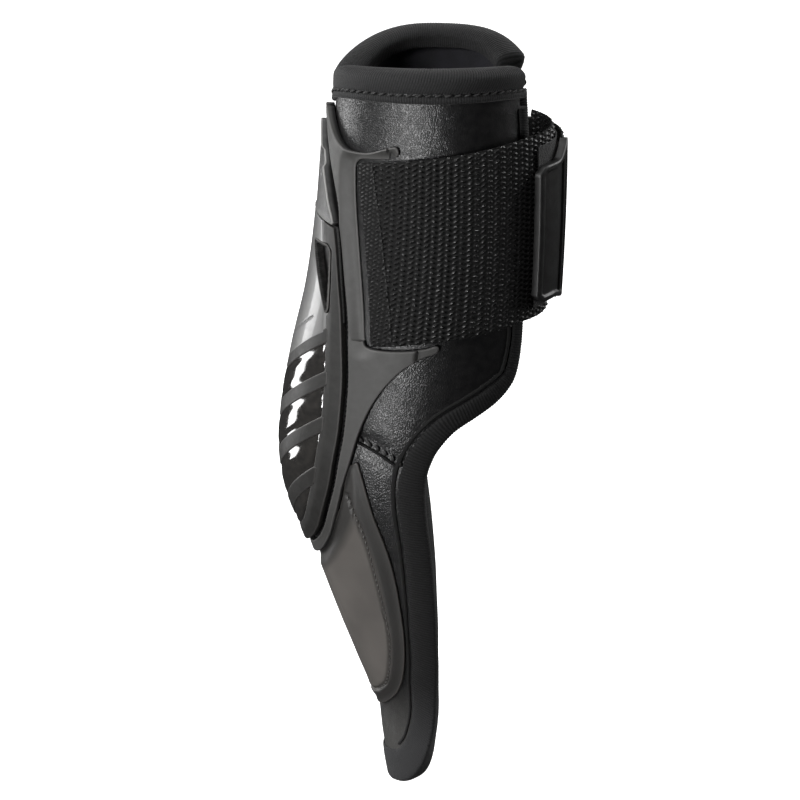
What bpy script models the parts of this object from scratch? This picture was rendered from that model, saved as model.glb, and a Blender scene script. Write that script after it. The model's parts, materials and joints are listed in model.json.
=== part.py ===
"""Tendon boot for a horse's lower leg, with a long guard for the back of the pastern.

The boot is designed as its maker designs it: every layer is a flat pattern piece, cut with a die and then
wrapped round the form of the leg. A flat pattern has two coordinates, in millimetres:
    s   distance round the form: 0 down the middle of the back, 103.7 down the middle of the front,
        positive on the near side (-Y), negative on the far side (+Y)
    z   height above the origin
and a third, r, that counts outwards from the outer face of the padding.
The origin lies on the leg's axis. The back of the leg faces -X, and +Z runs up the leg.
"""

import math

import bmesh
import bpy
import numpy as np
from mathutils import Matrix, Vector

MM = 0.001

# The form of the leg, over the padding: height, back, front, half width.
LEG_FORM = (
    (80, -33.0, 35.0, 31.0),
    (52, -34.0, 36.0, 32.0),
    (30, -35.3, 37.0, 33.0),
    (8, -37.1, 37.5, 34.0),
    (-15, -40.3, 37.5, 34.7),
    (-37, -45.3, 37.0, 35.0),
    (-60, -49.3, 34.0, 35.0),
    (-76, -50.0, 31.0, 34.5),
    (-90, -47.6, 30.0, 33.5),
    (-105, -41.6, 29.2, 31.7),
    (-120, -36.2, 28.6, 29.6),
    (-138, -29.4, 28.0, 27.4),
    (-152, -23.8, 28.0, 25.6),
    (-166, -19.2, 28.6, 24.5),
    (-183, -17.0, 29.2, 23.6),
    (-202, -13.5, 30.5, 23.0),
)
PATTERN_RADIUS = 33.0  # s is this radius times the angle round the form
FRONT_S = math.pi * PATTERN_RADIUS
PITCH_S, PITCH_Z = 8.0, 12.0  # the cells of a wrapped piece
DIE_REACH = 40.0  # a cutting die goes this far through the layers each way
PATTERN_FOOT, PATTERN_TOP = -215.0, 90.0  # the pattern's own extent up and down
GAP = 0.4  # between one layer and the next

# Layers, as (inner face, outer face) in r.
PADDING = (-6.0, 0.0)
LINING = (-8.0, -6.4)
FRAME = (0.4, 3.4)
GEL = (0.4, 1.6)
WINDOW = (2.0, 3.4)
CAGE = (3.7, 4.8)
PLATE = (1.2, 4.9)
VENT = (3.7, 5.2)
STRIKE_PAD = (0.4, 2.8)
LEDGE = (0.4, 1.2)
WEBBING = (1.6, 3.3)
LOOP = (3.6, 4.1)
HOOK = (4.4, 4.9)
STRAP = (1.6, 3.2)
TAB = (1.6, 3.9)

RIM_LOW, RIM_RISE = 64.0, 10.0  # the top rim rises over each side of the leg
RIM_FALL_BACK, RIM_FALL_FRONT = 2.0, 3.5  # how late it falls again towards the back and the front
BINDING_CAP = 2.0
BINDING_OUTER = 1.6
BINDING_ROUND = 0.5  # how far the tape has come in where it starts to fold over the edge
BINDING_SHOULDERS = (-1.6, -6.8)  # where the fold is widest
BINDING_TAPE = 1.2  # its thickness on the inner side
BINDING_CLEAR = 0.6  # between a binding and the faces that it grips
EDGE_BINDING_DEPTH = 8.0
TOP_BINDING_DEPTH = 8.5
FLAP_EDGE_S = 90.0
STRAP_LIFT = 4.2  # the webbing leaves the padding and bridges the open front
STRAP_LEAN = 0.05  # and stands further off at its top edge than at its foot
LEAN_LEVEL = 24.0
OVERLAP_LIFT = 3.6  # the closure strap also rises over the webbing that it grips
SLOPE = 0.145  # the webbing climbs this much per millimetre towards the front

# The edge of the padding on the near side, from the top of the flap round to the tip of the pastern guard.
FLAP_EDGE = (
    (90, 54.4), (90, 20), (87.5, 0), (85.6, -18), (85.1, -31), (83.8, -41.8), (81.2, -46.5),
    (76.9, -50.6), (70.5, -54.9), (64.3, -59.5),
)  # fmt: skip
GUARD_EDGE = (
    (64.3, -59.5), (60.1, -65.9), (58, -72.2), (56.8, -80), (56.4, -96), (56, -115),
    (54.9, -131), (52, -149), (48, -163), (44, -176.5), (37.5, -187), (26, -194.5), (12, -198.3), (0, -199.3),
)  # fmt: skip
# Where the flap flexes, as a cut in the pattern that stands upright once it is wrapped.
FLAP_REACH = 112.0
FLEX_CUT = ((58.9, 90), (58.9, 0), (60.3, -25), (62.3, -45), (64.3, -59.5), (65.2, -66))

# The frame: one moulding across the back, with an upper and a lower arm on each side of the strap's pocket.
FRAME_EDGE = (
    (0, 52.7), (3.6, 52), (9.5, 47.3), (15.8, 42.4), (22, 40.3), (29, 40.6), (36.5, 43.4), (40.2, 44.3),
    (40.9, 41.4), (38, 39.4), (31, 38.6), (25, 37.6), (23.6, 33.5), (25, 20), (28.3, 2), (32.8, -19.5),
    (35.4, -28.6), (37.5, -30), (45, -30), (53, -29), (56.2, -27.5), (57.2, -29.6), (53.1, -32),
    (48, -36), (43.5, -43), (40.3, -51.5), (38, -61.5), (36.4, -71.7), (34, -80.5), (29.6, -90.5),
    (22.2, -100.3), (12.5, -108), (0, -111),
)  # fmt: skip
# The groove between frame and shell, which a row of stitches follows.
GROOVE = (
    (0, 50), (3, 46.5), (8.5, 34.1), (15.5, 21.2), (20.7, 7.6), (24, -6.4), (28.4, -24.2), (31.6, -40.2),
    (33, -54.7), (32.8, -67.8), (30.2, -82.9), (22.8, -97), (12, -105.2), (0, -107.8),
)  # fmt: skip
GROOVE_HALF = 0.5
PLATE_FOOT = 8.0  # the upper plate ends here, and the lower shell starts below it
SEAM_HALF = 0.3
SHELL_REACH = 45.0  # more than the shell's half width in the pattern
RIB_TOPS = (-23.0, -40.5, -58.0)  # of the ribs with a window below them, at the shell's rim
RIB_DROP = 19.0  # how much lower a rib is at the middle of the back
RIB_HEIGHT = 6.0
RIB_STEP = 17.5
RIB_REACH = 24.5  # the windows between the ribs end here, at the shell's rim
VENT_EDGE = ((7.5, 3.6), (18.5, 3.6), (20.4, 1.6), (22.3, -16.5), (20.6, -18.2), (8.2, 0.9))
STRIKE_PAD_EDGE = (
    (37.2, -73), (39.9, -81.6), (42.5, -100), (43.7, -113.7), (43.3, -127.4), (41.4, -141),
    (36.4, -153.5), (29, -161), (20, -164.2), (0, -165),
)  # fmt: skip
STRIKE_PAD_HEAD = ((36.9, -73), (34.6, -81.2), (30.2, -91.3), (22.6, -101.2), (12.8, -109.5), (0, -113.3))

# The webbing on the near side and the closure strap from the far side.
WEBBING_ANCHOR_TOP, WEBBING_ANCHOR_FOOT = (26.0, 36.8), (37.2, -29.2)
STRAP_HINGE = ((41.1, 37.0), (45.4, -29.0))  # upright once it is wrapped
STRAP_ZONE = (-60.0, 80.0)  # the straps lie well between these heights
LEDGE_CLEAR, LEDGE_END = 0.4, 46.0
SEWN_REACH = 60.0
WEBBING_CORNER = 76.0
WEBBING_CORNER_HINGE = (-24.0, 42.0)  # the heights of the ends of its hinge line
WEBBING_LEVEL_S = 84.0  # the webbing runs level from here on
WEBBING_END = 121.0
LEDGE_SHORTER = 0.94
STRAP_CORNER_S = 2 * FRONT_S - 76.0
STRAP_FRONT_S = 114.0
STRAP_TAB_S = 101.0
TAB_END = 84.0
TAB_SHOULDER = 94.0
STRAP_HALF = 30.0
STRAP_MIDDLE = 11.5
TAB_HALF = 25.0
TAB_MIDDLE = 9.5

# The hook-and-loop panels, by two opposite corners.
LOOP_PANEL = ((87, -18), (WEBBING_END - 1, 41))
HOOK_PANEL = ((102.2, -14), (112.8, 37))
TAB_PATCH = ((88, -12), (99.6, 31))

FLAP_PIECES = ("padding", "lining", "top_binding", "edge_binding")

LEATHER = ((0.012, 0.012, 0.013), 0.42, 0.0)
LYCRA = ((0.016, 0.016, 0.017), 0.85, 0.0)
NEOPRENE = ((0.01, 0.01, 0.012), 0.9, 0.0)
MATTE_TPU = ((0.04, 0.039, 0.037), 0.55, 0.0)
GLOSS_TPU = ((0.03, 0.03, 0.03), 0.08, 0.0)
GEL_BLACK = ((0.02, 0.02, 0.022), 0.3, 0.0)
NYLON = ((0.01, 0.01, 0.01), 0.6, 0.0)
RUBBER = ((0.008, 0.008, 0.008), 0.35, 0.0)


def clear_scene():
    for obj in list(bpy.data.objects):
        bpy.data.objects.remove(obj)


def material(name, look):
    colour, roughness, metallic = look
    made = bpy.data.materials.get(name) or bpy.data.materials.new(name)
    made.use_nodes = True
    shader = made.node_tree.nodes["Principled BSDF"]
    shader.inputs["Base Color"].default_value = (*colour, 1)
    shader.inputs["Roughness"].default_value = roughness
    shader.inputs["Metallic"].default_value = metallic
    return made


def smooth_step(t):
    t = min(1.0, max(0.0, t))
    return t * t * (3 - 2 * t)


def leg_section(z):
    """(middle, half length, half width) of the form at height z, on a smooth curve through the stations."""
    table = np.array(LEG_FORM[::-1], float)
    heights = table[:, 0]
    slopes = np.gradient(table[:, 1:], heights, axis=0)
    i = int(np.clip(np.searchsorted(heights, z) - 1, 0, len(heights) - 2))
    step = heights[i + 1] - heights[i]
    t = min(1.0, max(0.0, (z - heights[i]) / step))
    low, high = table[i, 1:], table[i + 1, 1:]
    back, front, half_width = (
        (2 * t**3 - 3 * t**2 + 1) * low
        + (t**3 - 2 * t**2 + t) * step * slopes[i]
        + (3 * t**2 - 2 * t**3) * high
        + (t**3 - t**2) * step * slopes[i + 1]
    )
    return (back + front) / 2, (front - back) / 2, half_width


def on_form(s, z):
    middle, half_length, half_width = leg_section(z)
    angle = s / PATTERN_RADIUS
    return np.array([middle - half_length * math.cos(angle), -half_width * math.sin(angle), z])


def wrap(s, z, r):
    """The point in space, in metres, of a point of the flat pattern."""
    probe = 0.05
    along = on_form(s + probe, z) - on_form(s - probe, z)
    up = on_form(s, z + probe) - on_form(s, z - probe)
    normal = np.cross(along, up)
    return (on_form(s, z) + normal / np.linalg.norm(normal) * r) * MM


def no_lift(s, z):
    return 0.0


def webbing_lift(s, z):
    """How far the webbing stands off the form as it nears the open front."""
    towards_front = (FRONT_S - abs(s - FRONT_S) - 52) / (FRONT_S - 52)
    return (STRAP_LIFT + STRAP_LEAN * (z - LEAN_LEVEL)) * smooth_step(towards_front)


def closure_lift(s, z):
    """The closure strap starts in the far pocket, then climbs onto the webbing."""
    return webbing_lift(s, z) + OVERLAP_LIFT * smooth_step((152 - s) / 24)


def smooth_line(points, step=7.0):
    """Points about one step apart on a Catmull-Rom curve through the given ones."""
    p = [np.array(q, float) for q in points]
    p = [2 * p[0] - p[1], *p, 2 * p[-1] - p[-2]]
    line = []
    for a, b, c, d in zip(p, p[1:], p[2:], p[3:]):
        count = max(1, round(np.linalg.norm(c - b) / step))
        for k in range(count):
            t = k / count
            curve = (c - a) * t + (2 * a - 5 * b + 4 * c - d) * t**2 + (3 * b - a - 3 * c + d) * t**3
            line.append(b + curve / 2)
    line.append(p[-2])
    return [(float(x), float(y)) for x, y in line]


def mirrored(points):
    return [(-s, z) for s, z in reversed(points)]


def rectangle(low, high):
    return [low, (high[0], low[1]), high, (low[0], high[1])]


def both_sides(half):
    """A closed outline from its near half, which runs down from the middle of the back to the same middle."""
    near = list(half)
    return near + mirrored(near[1:-1])


def offset_line(points, distance):
    """The line moved sideways: to the left of its direction for a positive distance."""
    p = np.array(points, float)
    tangent = np.gradient(p, axis=0)
    tangent /= np.linalg.norm(tangent, axis=1, keepdims=True)
    moved = p + distance * np.stack([-tangent[:, 1], tangent[:, 0]], axis=1)
    return [(float(x), float(y)) for x, y in moved]


def prism(outline):
    """A cutting die: the outline as a face in the pattern's plane, extruded through every layer."""
    mesh = bpy.data.meshes.new("die")
    work = bmesh.new()
    face = work.faces.new([work.verts.new((s, -DIE_REACH, z)) for s, z in outline])
    extruded = bmesh.ops.extrude_face_region(work, geom=[face])["geom"]
    moved = [v for v in extruded if isinstance(v, bmesh.types.BMVert)]
    bmesh.ops.translate(work, verts=moved, vec=(0, 2 * DIE_REACH, 0))
    bmesh.ops.recalc_face_normals(work, faces=work.faces)
    work.to_mesh(mesh)
    work.free()
    die = bpy.data.objects.new("die", mesh)
    bpy.context.scene.collection.objects.link(die)
    die.hide_render = True
    die.display_type = "WIRE"
    return die


def blank(outline, layer):
    """A flat blank that covers the outline, in cells so that it can bend. Its -Y face is the outer one."""
    inner, outer = layer
    s = [p[0] for p in outline]
    z = [p[1] for p in outline]
    columns = np.arange(math.floor(min(s) / PITCH_S) - 1, math.ceil(max(s) / PITCH_S) + 2) * PITCH_S
    rows = np.arange(math.floor(min(z) / PITCH_Z) - 1, math.ceil(max(z) / PITCH_Z) + 2) * PITCH_Z
    work = bmesh.new()
    grid = [[work.verts.new((a, -outer, b)) for b in rows] for a in columns]
    for left, right in zip(grid, grid[1:]):
        for (p, q), (u, v) in zip(zip(left, left[1:]), zip(right, right[1:])):
            work.faces.new((p, u, v, q))
    extruded = bmesh.ops.extrude_face_region(work, geom=list(work.faces))["geom"]
    moved = [v for v in extruded if isinstance(v, bmesh.types.BMVert)]
    bmesh.ops.translate(work, verts=moved, vec=(0, outer - inner, 0))
    bmesh.ops.recalc_face_normals(work, faces=work.faces)
    mesh = bpy.data.meshes.new("blank")
    work.to_mesh(mesh)
    work.free()
    obj = bpy.data.objects.new("blank", mesh)
    bpy.context.scene.collection.objects.link(obj)
    return obj


def wrapped_piece(name, outline, layer, look, keep=(), holes=(), lift=no_lift):
    """Cuts a blank with dies, wraps it round the form and makes it a named part.

    keep holds further outlines that the piece stays inside, and holes the outlines cut out of it."""
    obj = blank(outline, layer)
    dies = [(prism(o), "INTERSECT") for o in (outline, *keep)] + [(prism(o), "DIFFERENCE") for o in holes]
    for die, operation in dies:
        cut = obj.modifiers.new("cut", "BOOLEAN")
        cut.object = die
        cut.operation = operation
        cut.solver = "EXACT"
    bpy.context.view_layer.update()
    mesh = bpy.data.meshes.new(name)
    work = bmesh.new()
    work.from_object(obj, bpy.context.evaluated_depsgraph_get())
    bmesh.ops.triangulate(work, faces=work.faces)  # while it is flat, so that it bends evenly
    for vertex in work.verts:
        s, minus_r, z = vertex.co
        vertex.co = wrap(s, z, lift(s, z) - minus_r)
    work.to_mesh(mesh)
    work.free()
    for die, _ in dies:
        bpy.data.objects.remove(die)
    bpy.data.objects.remove(obj)
    return finish(name, mesh, look)


def finish(name, mesh, look):
    mesh.materials.clear()
    mesh.materials.append(material(*look))
    mesh.shade_smooth()
    mesh.set_sharp_from_angle(angle=math.radians(35))
    part = bpy.data.objects.new(name, mesh)
    bpy.context.scene.collection.objects.link(part)
    return part


def binding(name, line, depth=EDGE_BINDING_DEPTH):
    """A folded tape round an edge of the padding: a U-shaped section swept along the line.

    The padding lies to the right of the line's direction."""
    cap, clear, middle = BINDING_CAP, BINDING_CLEAR, depth / 2
    face, back = PADDING[1] + clear, LINING[0] - clear
    outer, inner = BINDING_OUTER, back - BINDING_TAPE
    upper, lower = BINDING_SHOULDERS
    outside = (
        (depth, outer), (middle, outer), (-cap / 2, outer - BINDING_ROUND), (-cap, upper),
        (-cap, lower), (-cap / 2, inner + BINDING_ROUND), (middle, inner), (depth, inner),
    )  # fmt: skip
    slot = (
        (depth, face), (middle, face), (-clear, face), (-clear, upper),
        (-clear, lower), (-clear, back), (middle, back), (depth, back),
    )  # fmt: skip
    section = outside + slot[::-1]
    work = bmesh.new()
    rings = []
    for (s, z), (s_in, z_in) in zip(line, offset_line(line, -1.0)):
        ring = [wrap(s + (s_in - s) * w, z + (z_in - z) * w, r) for w, r in section]
        rings.append([work.verts.new(p) for p in ring])
    for a, b in zip(rings, rings[1:]):
        for k in range(len(section)):
            n = (k + 1) % len(section)
            work.faces.new((a[k], a[n], b[n], b[k]))
    for ring in (rings[0], rings[-1]):
        for k in range(len(outside) - 1):
            work.faces.new((ring[k], ring[k + 1], ring[-2 - k], ring[-1 - k]))
    bmesh.ops.triangulate(work, faces=work.faces)
    bmesh.ops.recalc_face_normals(work, faces=work.faces)
    mesh = bpy.data.meshes.new(name)
    work.to_mesh(mesh)
    work.free()
    return finish(name, mesh, ("lycra", LYCRA))


def pad_top(s):
    backwards = math.cos(s / PATTERN_RADIUS)
    fall = RIM_FALL_BACK if backwards > 0 else RIM_FALL_FRONT
    return RIM_LOW + RIM_RISE * (1 - abs(backwards) ** fall) - BINDING_CAP


def top_line(start, end):
    count = max(3, round(abs(end - start) / PITCH_S))
    return [(float(s), pad_top(s)) for s in np.linspace(start, end, count + 1)]


def pad_outline():
    """The whole padding, flaps included, as one outline in the pattern."""
    edge = smooth_line(FLAP_EDGE) + smooth_line(GUARD_EDGE)[1:]
    top = top_line(0, FLAP_EDGE_S)
    return both_sides([*top, *edge])


def flap_die(side):
    """Everything in front of the flex cut on one side: 1 near, -1 far."""
    cut = [(s + GAP, z) for s, z in FLEX_CUT]
    foot = FLEX_CUT[-1][1]
    return [(side * s, z) for s, z in [*cut, (80, foot), (FLAP_REACH, foot), (FLAP_REACH, PATTERN_TOP)]]


def back_die():
    """Everything behind the flex cuts, and the whole of the pastern guard below them."""
    near = [(s - GAP, z) for s, z in FLEX_CUT] + [(80, -80), (80, PATTERN_FOOT)]
    return near + mirrored(near)


def build_padding():
    outline = pad_outline()
    dies = (("rear", back_die()), ("near_flap", flap_die(1)), ("far_flap", flap_die(-1)))
    for word, die in dies:
        wrapped_piece(f"{word}_padding", outline, PADDING, ("leather", LEATHER), keep=[die])
        wrapped_piece(f"{word}_lining", outline, LINING, ("neoprene", NEOPRENE), keep=[die])


def build_bindings():
    cut = FLEX_CUT[0][0]
    binding("rear_top_binding", top_line(-cut + 2 * GAP, cut - 2 * GAP), TOP_BINDING_DEPTH)
    flap_top = top_line(cut + 2 * GAP, FLAP_EDGE_S + BINDING_CAP)
    # The bindings stop short of the corner where flap and guard meet, so that the flap can turn.
    flap_edge = smooth_line(FLAP_EDGE)[:-1]
    guard = smooth_line(GUARD_EDGE)[1:]
    binding("near_flap_top_binding", flap_top, TOP_BINDING_DEPTH)
    binding("far_flap_top_binding", mirrored(flap_top), TOP_BINDING_DEPTH)
    binding("near_flap_edge_binding", flap_edge)
    binding("far_flap_edge_binding", mirrored(flap_edge))
    binding("guard_binding", guard + mirrored(guard[:-1]))


def groove_offset(distance):
    """The groove's line moved outwards, from the middle of the back at the top to the middle at the foot."""
    line = offset_line(smooth_line(GROOVE), distance)
    line[0] = (0.0, line[0][1])
    line[-1] = (0.0, line[-1][1])
    return line


def chevron(top, height, reach):
    """A V-shaped band across the back. top is its height at the reach on each side."""
    return [
        (-reach, top), (0, top - RIB_DROP), (reach, top),
        (reach, top - height), (0, top - RIB_DROP - height), (-reach, top - height),
    ]  # fmt: skip


def build_shell():
    outside = both_sides(groove_offset(GROOVE_HALF))
    inside = both_sides(groove_offset(-GROOVE_HALF))
    frame = both_sides(FRAME_EDGE)
    wrapped_piece("support_frame", frame, FRAME, ("matte_tpu", MATTE_TPU), holes=[outside])
    above = rectangle((-SHELL_REACH, PLATE_FOOT + SEAM_HALF), (SHELL_REACH, PATTERN_TOP))
    below = rectangle((-SHELL_REACH, PATTERN_FOOT), (SHELL_REACH, PLATE_FOOT - SEAM_HALF))
    wrapped_piece("upper_plate", inside, PLATE, ("matte_tpu", MATTE_TPU), keep=[above])
    vents = [[(side * s, z) for s, z in VENT_EDGE] for side in (1, -1)]
    vent_holes = [grown(vent, GAP) for vent in vents]
    windows = [chevron(top - RIB_HEIGHT, RIB_STEP - RIB_HEIGHT, RIB_REACH) for top in RIB_TOPS]
    wrapped_piece(
        "shell_cage", inside, CAGE, ("matte_tpu", MATTE_TPU), keep=[below], holes=[*windows, *vent_holes]
    )
    wrapped_piece("shell_window", inside, WINDOW, ("gloss_tpu", GLOSS_TPU), keep=[below])
    wrapped_piece("impact_gel_pad", inside, GEL, ("gel", GEL_BLACK), keep=[below])
    for word, vent in zip(("near", "far"), vents):
        wrapped_piece(f"{word}_vent_insert", vent, VENT, ("gloss_tpu", GLOSS_TPU))


def grown(outline, distance):
    """A convex outline grown by about the distance. A corner has to move further than its sides do."""
    corner_share = 1.5
    p = np.array(outline, float)
    away = p - p.mean(axis=0)
    p += away / np.linalg.norm(away, axis=1, keepdims=True) * distance * corner_share
    return [(float(x), float(y)) for x, y in p]


def build_strike_pad():
    head = STRIKE_PAD_HEAD
    foot = smooth_line(STRIKE_PAD_EDGE)
    outline = [*foot, *mirrored(foot[:-1]), *[(-s, z) for s, z in head], *reversed(head[:-1])]
    wrapped_piece("pastern_strike_pad", outline, STRIKE_PAD, ("matte_tpu", MATTE_TPU))


def on_hinge(z):
    """Where the strap's hinge line is at height z on the near side."""
    (top_s, top_z), (foot_s, foot_z) = STRAP_HINGE
    return foot_s + (top_s - foot_s) * (z - foot_z) / (top_z - foot_z)


def before_hinge():
    """The part of the strap's zone between the back and its hinge line."""
    low, high = STRAP_ZONE
    return [(0, low), (on_hinge(low) - GAP, low), (on_hinge(high) - GAP, high), (0, high)]


def past_hinge():
    """The part of the strap's zone between its hinge line and the front."""
    low, high = STRAP_ZONE
    end = FRONT_S * 1.5
    return [(on_hinge(low) + GAP, low), (end, low), (end, high), (on_hinge(high) + GAP, high)]


def webbing_band(start_top, start_foot, end):
    """A length of webbing from a slanting end to an upright one, climbing towards the front."""
    anchor_s, anchor_z = WEBBING_ANCHOR_TOP
    foot_s, foot_z = WEBBING_ANCHOR_FOOT
    tops = np.linspace(start_top, end, 4)
    feet = np.linspace(end, start_foot, 4)
    return [(s, anchor_z + SLOPE * (min(s, WEBBING_LEVEL_S) - anchor_s)) for s in tops] + [
        (s, foot_z + SLOPE * (min(s, WEBBING_LEVEL_S) - foot_s)) for s in feet
    ]


def strap_band(start, end):
    """A length of the closure strap, between two values of s counted on round the front."""

    def middle(s):
        return STRAP_MIDDLE - SLOPE * max(0.0, s - WEBBING_END)

    places = np.linspace(start, end, 4)
    return [(s, middle(s) - STRAP_HALF) for s in places] + [
        (s, middle(s) + STRAP_HALF) for s in reversed(places)
    ]


def far(outline):
    """The same outline on the far side, counted on round the front."""
    return [(2 * FRONT_S - s, z) for s, z in outline]


def build_ledges():
    """The floor of each pocket in the frame, that a strap is sewn to."""
    top_s, foot_s = WEBBING_ANCHOR_TOP[0], WEBBING_ANCHOR_FOOT[0]
    pocket = webbing_band(top_s - LEDGE_CLEAR, foot_s - LEDGE_CLEAR, LEDGE_END)
    ledge = [(s, z * LEDGE_SHORTER) for s, z in pocket]
    matte = ("matte_tpu", MATTE_TPU)
    wrapped_piece("near_strap_ledge", ledge, LEDGE, matte)
    wrapped_piece("far_strap_ledge", mirrored(ledge), LEDGE, matte)


def build_near_strap():
    nylon = ("nylon", NYLON)
    whole = webbing_band(WEBBING_ANCHOR_TOP[0], WEBBING_ANCHOR_FOOT[0], WEBBING_END)
    low, high = STRAP_ZONE
    side = rectangle((0, low), (WEBBING_CORNER - GAP, high))
    front = rectangle((WEBBING_CORNER + GAP, low), (FRONT_S * 1.5, high))
    wrapped_piece("near_strap_sewn_end", whole, WEBBING, nylon, keep=[before_hinge()])
    wrapped_piece("near_strap_side", whole, WEBBING, nylon, keep=[past_hinge(), side], lift=webbing_lift)
    wrapped_piece("near_strap_front", whole, WEBBING, nylon, keep=[front], lift=webbing_lift)
    wrapped_piece("loop_panel", rectangle(*LOOP_PANEL), LOOP, ("loop_pile", LYCRA), lift=webbing_lift)


def build_closure_strap():
    nylon = ("nylon", NYLON)
    back = 2 * FRONT_S - WEBBING_ANCHOR_TOP[0] - 4
    whole = strap_band(STRAP_TAB_S + GAP, back)
    cuts = (
        ("closure_strap_front", STRAP_TAB_S, STRAP_FRONT_S),
        ("closure_strap_corner", STRAP_FRONT_S, STRAP_CORNER_S),
    )
    for name, start, end in cuts:
        wrapped_piece(name, strap_band(start + GAP, end - GAP), STRAP, nylon, lift=closure_lift)
    side = strap_band(STRAP_CORNER_S + GAP, back)
    wrapped_piece("closure_strap_side", side, STRAP, nylon, keep=[far(past_hinge())], lift=closure_lift)
    sewn = far(webbing_band(WEBBING_ANCHOR_TOP[0], WEBBING_ANCHOR_FOOT[0], SEWN_REACH))
    wrapped_piece("closure_strap_sewn_end", whole, STRAP, nylon, keep=[far(before_hinge()), sewn])
    build_pull_tab()


def build_pull_tab():
    low, high = TAB_MIDDLE - TAB_HALF, TAB_MIDDLE + TAB_HALF
    root_s, root_low, root_high = STRAP_TAB_S - GAP, STRAP_MIDDLE - STRAP_HALF, STRAP_MIDDLE + STRAP_HALF
    tab = [
        (TAB_END, low), (TAB_SHOULDER, low), (root_s, root_low),
        (root_s, root_high), (TAB_SHOULDER, high), (TAB_END, high),
    ]  # fmt: skip
    wrapped_piece("pull_tab", tab, TAB, ("rubber", RUBBER), lift=closure_lift)
    hooks = ("hook_pile", NYLON)
    wrapped_piece("hook_panel", rectangle(*HOOK_PANEL), HOOK, hooks, lift=webbing_lift)
    wrapped_piece("pull_tab_hook_patch", rectangle(*TAB_PATCH), HOOK, hooks, lift=webbing_lift)


def joint_axis(low, high):
    """The middle of a joint's axis and its upward direction, from two pattern points (s, z, r)."""
    foot, top = wrap(*low), wrap(*high)
    return (foot + top) / 2, (top - foot) / np.linalg.norm(top - foot)


def joints():
    """Each moving body: its joint's axis, the body it turns on and its pieces. All turn outwards to open."""
    outer = WEBBING[1]
    (top_s, top_z), (foot_s, foot_z) = STRAP_HINGE
    (cut_s, _), *_, (cut_foot_s, cut_foot_z), _ = FLEX_CUT

    def near(s, z, r):
        return (s, z, r + webbing_lift(s, z))

    def closure(s, z, r):
        return (s, z, r + closure_lift(s, z))

    flap = joint_axis((cut_foot_s, cut_foot_z, 0), (cut_s, pad_top(cut_s), 0))
    far_flap = joint_axis((-cut_foot_s, cut_foot_z, 0), (-cut_s, pad_top(cut_s), 0))
    strap_low, strap_high = STRAP_MIDDLE - STRAP_HALF, STRAP_MIDDLE + STRAP_HALF
    return {
        "near_flap": (flap, None, [f"near_flap_{p}" for p in FLAP_PIECES]),
        "far_flap": (far_flap, None, [f"far_flap_{p}" for p in FLAP_PIECES]),
        "near_strap": (
            joint_axis(near(foot_s, foot_z, outer), near(top_s, top_z, outer)), None, ["near_strap_side"],
        ),
        "near_strap_tip": (
            joint_axis(*(near(WEBBING_CORNER, z, outer) for z in WEBBING_CORNER_HINGE)),
            "near_strap", ["near_strap_front", "loop_panel"],
        ),
        "closure_strap": (
            joint_axis(
                closure(2 * FRONT_S - foot_s, foot_z, STRAP[1]), closure(2 * FRONT_S - top_s, top_z, STRAP[1])
            ),
            None, ["closure_strap_side"],
        ),
        "closure_corner": (
            joint_axis(
                closure(STRAP_CORNER_S, strap_low, STRAP[1]), closure(STRAP_CORNER_S, strap_high, STRAP[1])
            ),
            "closure_strap", ["closure_strap_corner"],
        ),
        "closure_front": (
            joint_axis(
                closure(STRAP_FRONT_S, strap_low, STRAP[1]), closure(STRAP_FRONT_S, strap_high, STRAP[1])
            ),
            "closure_corner", ["closure_strap_front", "hook_panel"],
        ),
        "pull_tab": (
            joint_axis(closure(STRAP_TAB_S, strap_low, TAB[1]), closure(STRAP_TAB_S, strap_high, TAB[1])),
            "closure_front", ["pull_tab", "pull_tab_hook_patch"],
        ),
    }  # fmt: skip


def hang_on_joints():
    """Gives each moving body an empty on its joint's axis, and parents its pieces to it."""
    axes = {}
    for body, ((point, direction), parent, pieces) in joints().items():
        axis = bpy.data.objects.new(f"{body}_axis", None)
        bpy.context.scene.collection.objects.link(axis)
        up = Vector(direction)
        turn = Vector((0, 0, 1)).rotation_difference(up).to_matrix().to_4x4()
        world = Matrix.Translation(Vector(point)) @ turn
        if parent:
            axis.parent = axes[parent]
            axis.matrix_parent_inverse = axes[parent].matrix_world.inverted()
        axis.matrix_basis = world
        bpy.context.view_layer.update()
        axes[body] = axis
        for name in pieces:
            piece = bpy.data.objects[name]
            piece.parent = axis
            piece.matrix_parent_inverse = axis.matrix_world.inverted()


def main():
    clear_scene()
    build_padding()
    build_bindings()
    build_shell()
    build_strike_pad()
    build_ledges()
    build_near_strap()
    build_closure_strap()
    hang_on_joints()


main()
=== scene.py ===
"""The looks of a tendon boot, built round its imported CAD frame.

Every piece is drawn as the boot's maker cuts it, in a flat pattern, and then wrapped round the leg's form:
    s   millimetres round the form: 0 down the middle of the back, 103.7 down the middle of the front,
        positive on the near side (-Y), negative on the far side (+Y)
    z   millimetres above the origin
    r   millimetres outwards from the outer face of the padding
Each mesh keeps its pattern coordinates in the attribute "pattern", which the materials read, so that grain
and weave stay on the cloth when the boot opens.
"""

import json
import math
from functools import partial

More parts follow.
